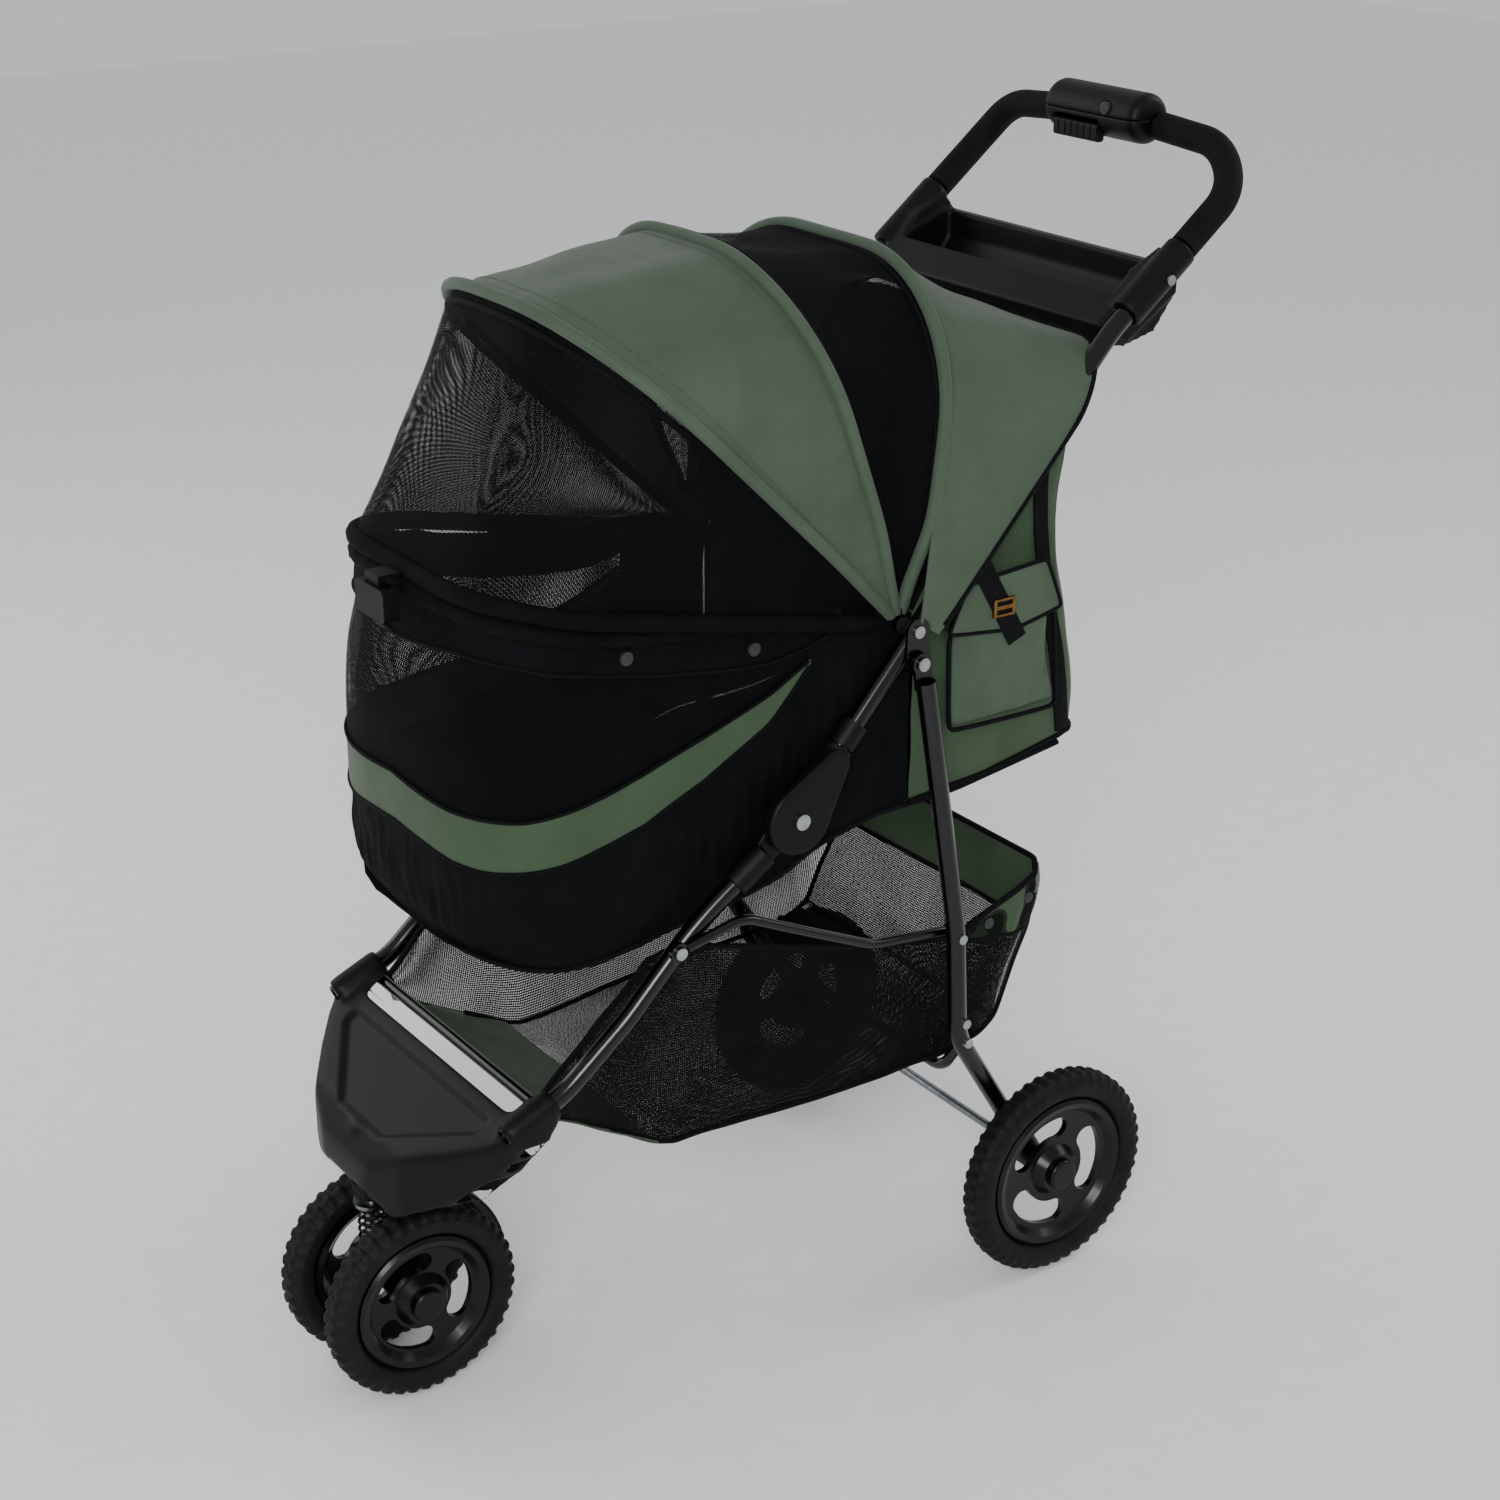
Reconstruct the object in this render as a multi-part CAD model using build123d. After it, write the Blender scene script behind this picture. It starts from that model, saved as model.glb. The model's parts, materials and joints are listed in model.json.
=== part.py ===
from build123d import *
import math
import os

# Folding three-wheel pet stroller, in millimetres.
# X runs across the stroller (its left side is +X), Y runs from the front (-Y) to the handle (+Y),
# Z is up from the floor. The origin is on the floor under the middle of the whole stroller.

# Driving dimensions: frame
TUBE_R = 8.0
TUBE_WALL = 1.3
TRACK_X = 157.0
HINGE_Y, HINGE_Z = -41.0, 484.0
TRAY_BEND_Y, TRAY_BEND_Z = 264.0, 825.0
GRIP_R = 11.8
GRIP_TOP_Y, GRIP_TOP_Z = 393.5, 966.0

# Driving dimensions: legs and linkage
LEG_PIVOT_Y, LEG_PIVOT_Z = 71.0, 592.0
REAR_LEG_X = 174.0
LINK_X = 161.2
LINK_R = 4.2
LINK_FRONT_Y, LINK_FRONT_Z = -151.0, 399.0
LINK_REAR_Y, LINK_REAR_Z = 118.0, 343.0

# Driving dimensions: wheels
REAR_AXLE_Y, REAR_AXLE_Z = 216.0, 95.0
REAR_WHEEL_R, REAR_WHEEL_W, REAR_RIM_R = 95.0, 26.5, 69.5
REAR_WHEEL_X = 191.75
FRONT_AXLE_Y, FRONT_AXLE_Z = -326.0, 84.5
FRONT_WHEEL_R, FRONT_WHEEL_W, FRONT_RIM_R = 84.5, 28.0, 60.0
FRONT_WHEEL_X = 39.0
SWIVEL_Y = -346.0
STEM_R = 7.0

# Driving dimensions: soft cabin, canopy and basket
FAN_Y, FAN_Z = 71.0, 617.0
POD_WALL = 4.0
CANOPY_T = 3.0
REAR_BOW = (83.0, 165.0, 278.0, 120.0)
MID_BOW = (109.5, 154.0, 309.0, 125.0)
FRONT_BOW = (135.5, 150.0, 385.0, 130.0)
RIM_BOW = (168.0, 147.0, 366.0, 88.0)
TRAY_EDGE = (52.5, 145.0, 276.0, 22.0)

# Fits
RUNNING = 0.05

PIECES = {}


def keep(name, shape):
    """Stores one finished sub-part under its node name."""
    PIECES[name] = shape


def x_rod(radius, x0, x1, y, z):
    """A round rod along X between two stations."""
    rod = Cylinder(radius, abs(x1 - x0), rotation=(0, 90, 0))
    return Pos((x0 + x1) / 2, y, z) * rod


def x_tube(outer, inner, x0, x1, y, z):
    """A round tube along X between two stations."""
    return x_rod(outer, x0, x1, y, z) - x_rod(inner, x0 - 1, x1 + 1, y, z)


def side_plate(outline, x0, x1):
    """A flat plate standing in the side plane, cut to a (y, z) outline."""
    face = make_face(Polyline(*[(x0, y, z) for y, z in outline], close=True))
    return extrude(face, amount=x1 - x0, dir=(1, 0, 0))


def tapered_plate(a, radius_a, b, radius_b, x0, x1):
    """A plate in the side plane, drawn round two circles and the tangents between them."""
    heading = math.atan2(b[1] - a[1], b[0] - a[0])
    spread = math.acos((radius_a - radius_b) / math.dist(a, b))
    outline = []
    for centre, radius, signs in ((a, radius_a, (1, -1)), (b, radius_b, (-1, 1))):
        for sign in signs:
            angle = heading + sign * spread
            outline.append((centre[0] + radius * math.cos(angle), centre[1] + radius * math.sin(angle)))
    return side_plate(outline, x0, x1) + x_rod(radius_a, x0, x1, *a) + x_rod(radius_b, x0, x1, *b)


def bent_rod(points, radii, radius, wall=0.0):
    """A rod, or a tube where a wall is given, bent along points with one bend radius a corner."""
    if len(points) > 2:
        path = FilletPolyline(*points, radius=radii)
    else:
        path = Line(*points)
    start = Plane(origin=path @ 0, z_dir=path % 0)
    rod = sweep(start * Circle(radius), path=path)
    if wall > 0:
        rod -= sweep(start * Circle(radius - wall), path=path)
    return rod


def rod_between(a, b, radius):
    """A straight round rod from point a to point b."""
    line = Line(a, b)
    return extrude(Plane(origin=a, z_dir=line % 0) * Circle(radius), amount=line.length)


def side_name(side):
    return "left" if side > 0 else "right"


def mirrored(shape, side):
    """Parts are modelled on the left; the right one is their mirror image."""
    return shape if side > 0 else mirror(shape, about=Plane.YZ)


# Upper frame: one U-shaped tube from hinge to hinge, with the handle at its top.


def upper_direction():
    run, rise = TRAY_BEND_Y - HINGE_Y, TRAY_BEND_Z - HINGE_Z
    length = math.hypot(run, rise)
    return run / length, rise / length


def on_upper(distance):
    """Side-plane point on the upper tube's axis, that far above the hinge."""
    along_y, along_z = upper_direction()
    return HINGE_Y + distance * along_y, HINGE_Z + distance * along_z


TRAY_BEND = (TRACK_X, TRAY_BEND_Y, TRAY_BEND_Z)
GRIP_CORNERS = [(TRACK_X, 388.0, 924.0), (131.0, 398.5, 955.0)]
GRIP_BENDS = [46.0, 46.0]


def part_way(a, b, share):
    """The point that lies a given share of the way from a to b."""
    return tuple(p + (q - p) * share for p, q in zip(a, b))


def handle_tube():
    start_y, start_z = on_upper(24)
    left = [(TRACK_X, start_y, start_z), TRAY_BEND, *GRIP_CORNERS]
    right = [(-x, y, z) for x, y, z in reversed(left)]
    bends = [150.0, *GRIP_BENDS]
    path_points = left + [(0, GRIP_TOP_Y, GRIP_TOP_Z)] + right
    return bent_rod(path_points, bends + [60.0] + bends[::-1], TUBE_R, TUBE_WALL)


def foam_grip():
    """Foam sleeve from the tray to the release housing, slid over the handle tube."""
    start = part_way(TRAY_BEND, GRIP_CORNERS[0], 0.6)
    end = part_way((0, GRIP_TOP_Y, GRIP_TOP_Z), GRIP_CORNERS[1], 0.475)
    points = [start, *GRIP_CORNERS, end]
    sleeve = bent_rod(points, GRIP_BENDS, GRIP_R)
    bore = bent_rod(points, GRIP_BENDS, TUBE_R + RUNNING)
    return sleeve - bore


def housing_shell(lower):
    """Half of the release housing that clasps the middle of the handle."""
    centre = Pos(0, GRIP_TOP_Y - 4, GRIP_TOP_Z)
    body = Rot(0, 90, 0) * Cylinder(21, 116)
    body = centre * fillet(body.edges(), 9)
    hollow = centre * (Rot(0, 90, 0) * Cylinder(17.5, 104))
    right_corner = (-GRIP_CORNERS[1][0], *GRIP_CORNERS[1][1:])
    middle = (0, GRIP_TOP_Y, GRIP_TOP_Z)
    bore = bent_rod([right_corner, middle, GRIP_CORNERS[1]], [60.0], TUBE_R + 0.02)
    shell = body - hollow - bore
    half = Pos(0, GRIP_TOP_Y - 4, GRIP_TOP_Z + (-30 if lower else 30)) * Box(200, 80, 60)
    shell = shell & half
    if lower:
        shell -= Pos(-14, GRIP_TOP_Y - 20, GRIP_TOP_Z - 14) * Box(56, 24, 20)
    else:
        shell -= Pos(22, GRIP_TOP_Y - 20, GRIP_TOP_Z + 6.5) * (Rot(90, 0, 0) * Cylinder(5.6, 16))
    return shell


def release_trigger():
    """Finger lever that closes the front of the lower housing."""
    bar = Pos(-14, GRIP_TOP_Y - 20.5, GRIP_TOP_Z - 15.5) * Box(54, 9, 15)
    bar = fillet(bar.edges().filter_by(Axis.X), 3)
    for rib in range(6):
        groove = Pos(-34 + rib * 8, GRIP_TOP_Y - 25.5, GRIP_TOP_Z - 15.5) * Box(2.4, 2, 12)
        bar -= groove
    return bar


def safety_button():
    """Round thumb button above the trigger."""
    stem = Pos(22, GRIP_TOP_Y - 22, GRIP_TOP_Z + 6.5) * (Rot(90, 0, 0) * Cylinder(5.3, 9))
    head = stem.faces().sort_by(Axis.Y)[0]
    return fillet(head.edges(), 1.5)


# Parent tray: a moulded trough with two cup wells, clasping the handle tube on both sides.
TRAY_SECTION = [
    (261, 829), (283, 851), (327, 868), (346, 866), (344, 845), (322, 816), (290, 808), (266, 812),
]


def parent_tray():
    body = side_plate(TRAY_SECTION, -146, 146)
    sleeve_a = part_way(TRAY_BEND, GRIP_CORNERS[0], 0.13)
    sleeve_b = part_way(TRAY_BEND, GRIP_CORNERS[0], 0.585)
    for side in (1, -1):
        a = (side * sleeve_a[0], *sleeve_a[1:])
        b = (side * sleeve_b[0], *sleeve_b[1:])
        body += rod_between(a, b, 13.5)
        wing = [(262, 829), (300, 868), (330, 882), (342, 866), (340, 845), (290, 812)]
        web = side_plate(wing, 136, 150)
        body += mirrored(web, side)
    trough = side_plate([(284, 854), (334, 875), (334, 845), (318, 822), (288, 822), (279, 832)], -134, 134)
    body -= trough
    for side in (1, -1):
        well = Pos(side * 88, 307, 842) * Cylinder(20, 60)
        body -= well & side_plate([(270, 815), (345, 820), (345, 900), (270, 900)], -140, 140)
        bore = bent_rod(
            [
                (side * TRACK_X, *on_upper(300)),
                (side * TRACK_X, TRAY_BEND_Y, TRAY_BEND_Z),
                (side * GRIP_CORNERS[0][0], *GRIP_CORNERS[0][1:]),
            ],
            [150.0],
            TUBE_R + 0.02,
        )
        body -= bore
    return body


def tray_screws():
    screws = []
    for side in (1, -1):
        head = x_rod(4.2, 170.6, 172.6, 313, 863.5)
        screws.append(mirrored(head, side))
    return screws


def upper_knuckle():
    """Moulded hinge half on the upper tube: two ears and a teardrop outer cover."""
    hinge = (HINGE_Y, HINGE_Z)
    ears = tapered_plate(hinge, 17, on_upper(40), 9, 145.0, 150.6)
    cover = tapered_plate(hinge, 29, on_upper(52), 13, 157.4, 169.5)
    cover = fillet(cover.faces().sort_by(Axis.X)[-1].edges(), 4)
    start = (TRACK_X, *on_upper(24))
    end = (TRACK_X, *on_upper(66))
    socket = rod_between(start, end, 12)
    body = ears + cover + socket
    body -= rod_between(start, (TRACK_X, *on_upper(90)), TUBE_R + 0.02)
    body -= x_rod(4.02, 140, 175, HINGE_Y, HINGE_Z)
    body -= x_rod(21.5, 150.6, 157.4, HINGE_Y, HINGE_Z)
    return body


def lock_sleeve():
    """Ring on the upper tube that slides up to free the fold hinge."""
    a = (TRACK_X, *on_upper(67))
    b = (TRACK_X, *on_upper(88))
    ring = rod_between(a, b, 11.5)
    return ring - rod_between((TRACK_X, *on_upper(60)), (TRACK_X, *on_upper(95)), TUBE_R + 0.3)


def hinge_pins():
    pins = []
    for side in (1, -1):
        pin = x_rod(4.0, 144.0, 170.5, HINGE_Y, HINGE_Z)
        pin += x_rod(6.5, 169.5, 171.5, HINGE_Y, HINGE_Z)
        pin += x_rod(6.0, 143.0, 145.0, HINGE_Y, HINGE_Z)
        pins.append(mirrored(pin, side))
    return pins


def pivot_bracket():
    """Stamped plate riveted to the upper tube; the rear leg hangs from its lower end."""
    plate = tapered_plate((FAN_Y, FAN_Z), 11, (LEG_PIVOT_Y, LEG_PIVOT_Z), 11.5, 165.2, 168.0)
    plate -= x_rod(3.02, 160, 172, FAN_Y, FAN_Z)
    return plate - x_rod(3.02, 160, 172, LEG_PIVOT_Y, LEG_PIVOT_Z)


def bracket_rivets():
    """Pivot rivets of the rear legs and the rivets that hold the brackets."""
    rivets = []
    for side in (1, -1):
        pivot = x_rod(3.0, 165.2, 176.4, LEG_PIVOT_Y, LEG_PIVOT_Z)
        pivot += x_rod(5.5, 174.6, 176.4, LEG_PIVOT_Y, LEG_PIVOT_Z)
        holder = x_rod(3.0, 165.2, 169.0, FAN_Y, FAN_Z)
        holder += x_rod(5.0, 168.0, 169.6, FAN_Y, FAN_Z)
        rivets.append(mirrored(pivot, side))
        rivets.append(mirrored(holder, side))
    return rivets


def fan_pins():
    """Pins inside the upper tube that the canopy bows turn on."""
    pins = []
    for side in (1, -1):
        pin = x_rod(3.0, 132.6, 148.9, FAN_Y, FAN_Z)
        pin += x_rod(6.5, 131.0, 132.6, FAN_Y, FAN_Z)
        pin += x_rod(7.0, 147.6, 148.9, FAN_Y, FAN_Z)
        pins.append(mirrored(pin, side))
    return pins


# Front frame: nose, two curved legs, cross bar, basket.


def lower_knuckle():
    """Moulded hinge half on the front leg: one tongue between the ears of the other half."""
    tongue = x_rod(20.5, 151.0, 157.0, HINGE_Y, HINGE_Z)
    arm_a = (HINGE_Y - 34, HINGE_Z - 33)
    web = side_plate(
        [
            (HINGE_Y - 12, HINGE_Z + 10),
            (arm_a[0] - 7, arm_a[1] + 7),
            (arm_a[0] + 7, arm_a[1] - 7),
            (HINGE_Y + 10, HINGE_Z - 12),
        ],
        151.0,
        157.0,
    )
    tube_end = FRONT_LEG[-1]
    closed_end = part_way(tube_end, FRONT_LEG[-2], -0.04)
    open_end = part_way(tube_end, FRONT_LEG[-2], 0.42)
    socket = rod_between(closed_end, open_end, 11.5)
    body = tongue + web + socket
    body -= rod_between(tube_end, part_way(tube_end, FRONT_LEG[-2], 0.6), TUBE_R + 0.02)
    return body - x_rod(4.0 + RUNNING, 140, 175, HINGE_Y, HINGE_Z)


FRONT_LEG = [
    (143.0, -300.0, 275.5),
    (143.5, -246.0, 298.0),
    (145.5, -190.0, 345.0),
    (149.0, -128.0, 411.0),
    (154.5, HINGE_Y - 28, HINGE_Z - 27),
]
FRONT_LEG_BENDS = [90.0, 120.0, 400.0]


def front_leg():
    return bent_rod(FRONT_LEG, FRONT_LEG_BENDS, TUBE_R, TUBE_WALL)


def link_rivets():
    """Rivets through the front legs that the fold links turn on."""
    rivets = []
    for side in (1, -1):
        rivet = x_rod(2.5, 155.1, 166.0, LINK_FRONT_Y, LINK_FRONT_Z)
        rivet += x_rod(5.0, 163.8, 166.0, LINK_FRONT_Y, LINK_FRONT_Z)
        rivets.append(mirrored(rivet, side))
    return rivets


NOSE_WALL = 3.5
NOSE_SIDE = [
    (-368, 222), (-352, 243), (-318, 262), (-276, 286), (-262, 296), (-252, 284), (-268, 262),
    (-282, 236), (-290, 181), (-330, 179), (-358, 181), (-371, 198),
]
NOSE_FRONT = [
    (-152, 292), (-156, 268), (-138, 236), (-104, 204), (-66, 182), (-40, 176), (40, 176),
    (66, 182), (104, 204), (138, 236), (156, 268), (152, 292),
]
NOSE_PLAN = [
    (-156, -252), (-156, -290), (-140, -308), (-112, -330), (-74, -356), (-34, -370),
    (34, -370), (74, -356), (112, -330), (140, -308), (156, -290), (156, -252),
]


def nose_block(inset):
    """The nose's outer form, or the same form shrunk on every side by an inset."""
    side = make_face(Polyline(*[(-160, y, z) for y, z in NOSE_SIDE], close=True))
    front = make_face(Polyline(*[(x, -240, z) for x, z in NOSE_FRONT], close=True))
    plan = make_face(Polyline(*[(x, y, 150) for x, y in NOSE_PLAN], close=True))
    if inset > 0:
        side, front, plan = [
            offset(face, amount=-inset, kind=Kind.INTERSECTION) for face in (side, front, plan)
        ]
    block = extrude(side, amount=320, dir=(1, 0, 0))
    block = block & extrude(front, amount=140, dir=(0, -1, 0))
    return block & extrude(plan, amount=160, dir=(0, 0, 1))


def nose_shell():
    """Moulded shield that joins the two front legs over the caster, open underneath."""
    cavity = nose_block(NOSE_WALL)
    body = nose_block(0) - cavity - Pos(0, 0, -NOSE_WALL - 1) * cavity
    body -= Pos(0, -240, 250) * Box(240, 82, 200)
    for side in (1, -1):
        corner = (side * 143, -300, 275.5)
        end = (side * 143.4, -254, 294.7)
        body += rod_between(corner, end, 12.5)
        leg_line = [(side * x, y, z) for x, y, z in FRONT_LEG]
        body -= bent_rod(leg_line, FRONT_LEG_BENDS, TUBE_R + 0.02)
    body += Pos(0, SWIVEL_Y, 203) * Cylinder(15, 70)
    body -= x_rod(4.52, -131, 131, -262, 284)
    return body - Pos(0, SWIVEL_Y, 180) * Cylinder(STEM_R + RUNNING, 90)


def front_crossbar():
    """Rod behind the nose that carries the front edge of the basket."""
    return x_rod(4.5, -130.8, 130.8, -262, 284)


# Caster: swivel stem, coil spring, sliding fork and twin wheels.


def caster_stem():
    stem = Pos(0, SWIVEL_Y, 166) * Cylinder(STEM_R, 104)
    return stem + Pos(0, SWIVEL_Y, 164) * Cylinder(15, 3)


def caster_spring():
    """Coil spring between the stem's collar and the fork."""
    height = 43.0
    turns = 6
    path = Helix(pitch=(height - 2.6) / turns, height=height - 2.6, radius=11)
    start = Plane(origin=path @ 0, z_dir=path % 0)
    coil = sweep(start * Circle(1.25), path=path)
    return Pos(0, SWIVEL_Y, 119.1 + 1.3) * coil


def caster_fork():
    """Central fork arm and mudguard between the twin wheels."""
    crown = Pos(0, SWIVEL_Y, 111) * Cylinder(17, 15)
    arm = [
        (-358, 116), (-331, 116), (-300, 111), (-290, 96), (-310, 70), (-336, 70), (-349, 92), (-358, 101),
    ]
    body = crown + side_plate(arm, -19, 19)
    guard = x_tube(FRONT_WHEEL_R + 6, FRONT_WHEEL_R + 3, -20, 20, FRONT_AXLE_Y, FRONT_AXLE_Z)
    sector = side_plate([(-330, 80), (-276, 176), (-222, 150), (-222, 96)], -30, 30)
    ledge = side_plate([(-312, 112), (-296, 96), (-250, 118), (-262, 146)], -3, 3)
    body = body + (guard & sector) + ledge
    body -= x_rod(4.02, -30, 30, FRONT_AXLE_Y, FRONT_AXLE_Z)
    return body - Pos(0, SWIVEL_Y, 113) * Cylinder(STEM_R + RUNNING, 18)


def front_axle():
    axle = x_rod(4.0, -53.0, 53.0, FRONT_AXLE_Y, FRONT_AXLE_Z)
    for side in (1, -1):
        axle += x_rod(6.5, side * 52.0, side * 53.5, FRONT_AXLE_Y, FRONT_AXLE_Z)
    return axle


def wheel_tyre(radius, rim_radius, width):
    """Foam tyre with a rounded tread, centred on its axle at the origin, axle along X."""
    half = width / 2
    section = Polyline(
        (-half + 3, rim_radius), (-half, rim_radius + 8), (-half + 2, radius - 7), (-half + 7, radius - 1),
        (-3, radius), (3, radius), (half - 7, radius - 1), (half - 2, radius - 7), (half, rim_radius + 8),
        (half - 3, rim_radius), close=True,
    )
    return revolve(make_face(section), axis=Axis.X)


def kidney(inner, outer, spread):
    """Curved slot between two radii, open over a spread of degrees, cut through a wheel disc."""
    middle = (inner + outer) / 2
    width = outer - inner
    cut = Cylinder(outer, 80, rotation=(0, 90, 0)) - Cylinder(inner, 80, rotation=(0, 90, 0))
    reach = 2 * outer
    wedge = [(0, 0)]
    for step in range(5):
        angle = math.radians(-spread / 2 + step * spread / 4)
        wedge.append((reach * math.sin(angle), reach * math.cos(angle)))
    cut = cut & side_plate(wedge, -50, 50)
    for end in (-1, 1):
        angle = math.radians(end * spread / 2)
        cut += x_rod(width / 2, -40, 40, middle * math.sin(angle), middle * math.cos(angle))
    return cut


def wheel_rim(rim_radius, width, bore):
    """Glossy moulded rim with a dished disc and three curved openings."""
    half = width / 2
    section = Polyline(
        (-half + 4, rim_radius), (half - 4, rim_radius), (half - 1.5, rim_radius - 3),
        (half - 3, rim_radius - 8), (half - 9, rim_radius - 13), (half - 11, 24), (half - 3, 18),
        (half - 3, bore), (-half + 3, bore), (-half + 3, 14), (half - 17, 20), (half - 15, rim_radius - 15),
        (-half + 4, rim_radius - 6), close=True,
    )
    rim = revolve(make_face(section), axis=Axis.X)
    opening = kidney(rim_radius * 0.44, rim_radius * 0.74, 62)
    for third in range(3):
        rim -= Rot(30 + third * 120, 0, 0) * opening
    return rim


def wheel_cap(x0):
    """Domed cap that snaps over the hub and hides the axle end."""
    cap = fillet(x_rod(14, x0, x0 + 6, 0, 0).faces().sort_by(Axis.X)[-1].edges(), 3)
    return cap - x_rod(8.5, x0 - 1, x0 + 3.6, 0, 0)


# Rear frame: two bent legs, a cross tube and the axle.
REAR_LEG = [
    (REAR_LEG_X, 74.0, 577.0), (REAR_LEG_X, 113.0, 350.0), (172.0, 120.0, 246.0), (163.4, 206.0, 110.0),
]
REAR_LEG_BENDS = [300.0, 60.0]


def rear_leg():
    leg = bent_rod(REAR_LEG, REAR_LEG_BENDS, TUBE_R, TUBE_WALL)
    eye = x_rod(9, 170.6, 173.8, LEG_PIVOT_Y, LEG_PIVOT_Z)
    strap = side_plate([(63, 592), (79, 592), (82, 572), (66, 570)], 170.6, 173.8)
    leg = leg + eye + strap
    leg -= x_rod(3.0 + RUNNING, 160, 190, LEG_PIVOT_Y, LEG_PIVOT_Z)
    return leg - x_rod(7, 173.8, 190, LEG_PIVOT_Y, LEG_PIVOT_Z)


def rear_leg_envelope(side):
    points = [(side * x, y, z) for x, y, z in REAR_LEG]
    return bent_rod(points, REAR_LEG_BENDS, TUBE_R + 0.02)


def rear_crossbar():
    """Cranked cross tube under the back of the basket."""
    left = [(169.0, 128.0, 240.0), (146.0, 126.0, 203.0)]
    right = [(-x, y, z) for x, y, z in reversed(left)]
    bar = bent_rod(left + right, [24.0, 24.0], 5.0, 1.0)
    return bar - rear_leg_envelope(1) - rear_leg_envelope(-1)


def leg_rivets():
    """Rivets in each rear leg: two for the cross tube, one at the fold link."""
    rivets = []
    for side in (1, -1):
        for y, z in ((121.0, 262.0), (124.0, 243.0), (LINK_REAR_Y - 4, LINK_REAR_Z)):
            head = mirrored(x_rod(4.2, 176, 183.2, y, z), side)
            rivets.append(head - rear_leg_envelope(side))
    return rivets


def axle_block():
    """Moulded block that ties the foot of a rear leg to the axle."""
    socket = rod_between(part_way(REAR_LEG[2], REAR_LEG[3], 0.84), part_way(REAR_LEG[2], REAR_LEG[3], 1.06), 12)
    block = socket + x_rod(12, 153, 175, REAR_AXLE_Y, REAR_AXLE_Z)
    block -= rear_leg_envelope(1)
    return block - x_rod(4.02, 140, 180, REAR_AXLE_Y, REAR_AXLE_Z)


def rear_axle():
    axle = x_rod(4.0, -203.0, 203.0, REAR_AXLE_Y, REAR_AXLE_Z)
    for side in (1, -1):
        axle += x_rod(7, side * 202.0, side * 203.5, REAR_AXLE_Y, REAR_AXLE_Z)
    return axle


def fold_link():
    """Cranked rod from the front leg to the rear leg that keeps the fold in step."""
    points = [
        (LINK_X, LINK_FRONT_Y, LINK_FRONT_Z), (LINK_X, -91.0, 412.0), (LINK_X, -37.0, 386.0),
        (LINK_X, 36.0, 352.0), (LINK_X, LINK_REAR_Y, LINK_REAR_Z),
    ]
    rod = bent_rod(points, [40.0, 300.0, 60.0], LINK_R)
    rod += x_rod(8, LINK_X - 2, LINK_X + 2, LINK_FRONT_Y, LINK_FRONT_Z)
    rod += x_rod(8, LINK_X - 2, LINK_X + 2, LINK_REAR_Y, LINK_REAR_Z)
    rod -= x_rod(7.5, LINK_X - 9, LINK_X - 2, LINK_FRONT_Y, LINK_FRONT_Z)
    rod -= x_rod(7.5, LINK_X + 2, LINK_X + 9, LINK_FRONT_Y, LINK_FRONT_Z)
    rod -= x_rod(7.5, LINK_X - 9, LINK_X - 2, LINK_REAR_Y, LINK_REAR_Z)
    rod -= x_rod(7.5, LINK_X + 2, LINK_X + 9, LINK_REAR_Y, LINK_REAR_Z)
    rod -= x_rod(2.5 + RUNNING, LINK_X - 9, LINK_X + 9, LINK_FRONT_Y, LINK_FRONT_Z)
    return rod - x_rod(2.6, LINK_X - 9, LINK_X + 9, LINK_REAR_Y, LINK_REAR_Z)


# Canopy: four bows that fan out from one pin on each side.


def fan_plane(angle):
    """Plane of a bow: local X runs across, local Y runs outward from the fan pins."""
    turn = math.radians(angle)
    normal = (0, -math.sin(turn), math.cos(turn))
    return Plane(origin=(0, FAN_Y, FAN_Z), x_dir=(1, 0, 0), z_dir=normal)


def bow(shape, arm_x, radius):
    """Bent bow with a flat eye on each end; arm_x is where its eye sits on the pin."""
    angle, half_width, reach, corner = shape
    plane = fan_plane(angle)
    half = [(arm_x, 58.0), (half_width, 106.0), (half_width, reach)]
    local = half + [(-x, y) for x, y in reversed(half)]
    points = [plane.from_local_coords(Vector(x, y, 0)) for x, y in local]
    body = bent_rod(points, [30.0, corner, corner, 30.0], radius)
    for side in (1, -1):
        arm = Pos(side * arm_x, 29, 0) * Box(2.4, 62, 7)
        eye = Pos(side * arm_x, 0, 0) * (Rot(0, 90, 0) * Cylinder(7, 2.4))
        hole = Pos(side * arm_x, 0, 0) * (Rot(0, 90, 0) * Cylinder(3.0 + RUNNING, 10))
        body += plane.location * (arm + eye)
        body -= plane.location * hole
    return body


def canopy_strip(shape, inner_radius, turn):
    """U-shaped cross-section of the canopy fabric beside a bow, turned off the bow by some degrees."""
    angle, half_width, reach, corner = shape
    outer_points = [(half_width, inner_radius), (half_width, reach), (-half_width, reach), (-half_width, inner_radius)]
    outer = FilletPolyline(*outer_points, radius=[corner, corner])
    w = half_width - CANOPY_T
    r = reach - CANOPY_T
    inner_points = [(w, inner_radius), (w, r), (-w, r), (-w, inner_radius)]
    inner = FilletPolyline(*inner_points, radius=[corner - CANOPY_T, corner - CANOPY_T])
    ends = [Line((w, inner_radius), (half_width, inner_radius)), Line((-w, inner_radius), (-half_width, inner_radius))]
    face = make_face([*outer.edges(), *inner.edges(), *ends])
    return fan_plane(angle + turn) * face


def canopy_panel(front_shape, rear_shape, inner_radius=104.0, front_turn=2.4, rear_turn=2.4):
    """Fabric stretched between two neighbouring bows."""
    front = canopy_strip(front_shape, inner_radius, -front_turn)
    rear = canopy_strip(rear_shape, inner_radius, rear_turn)
    return loft([front, rear], ruled=True)


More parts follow.
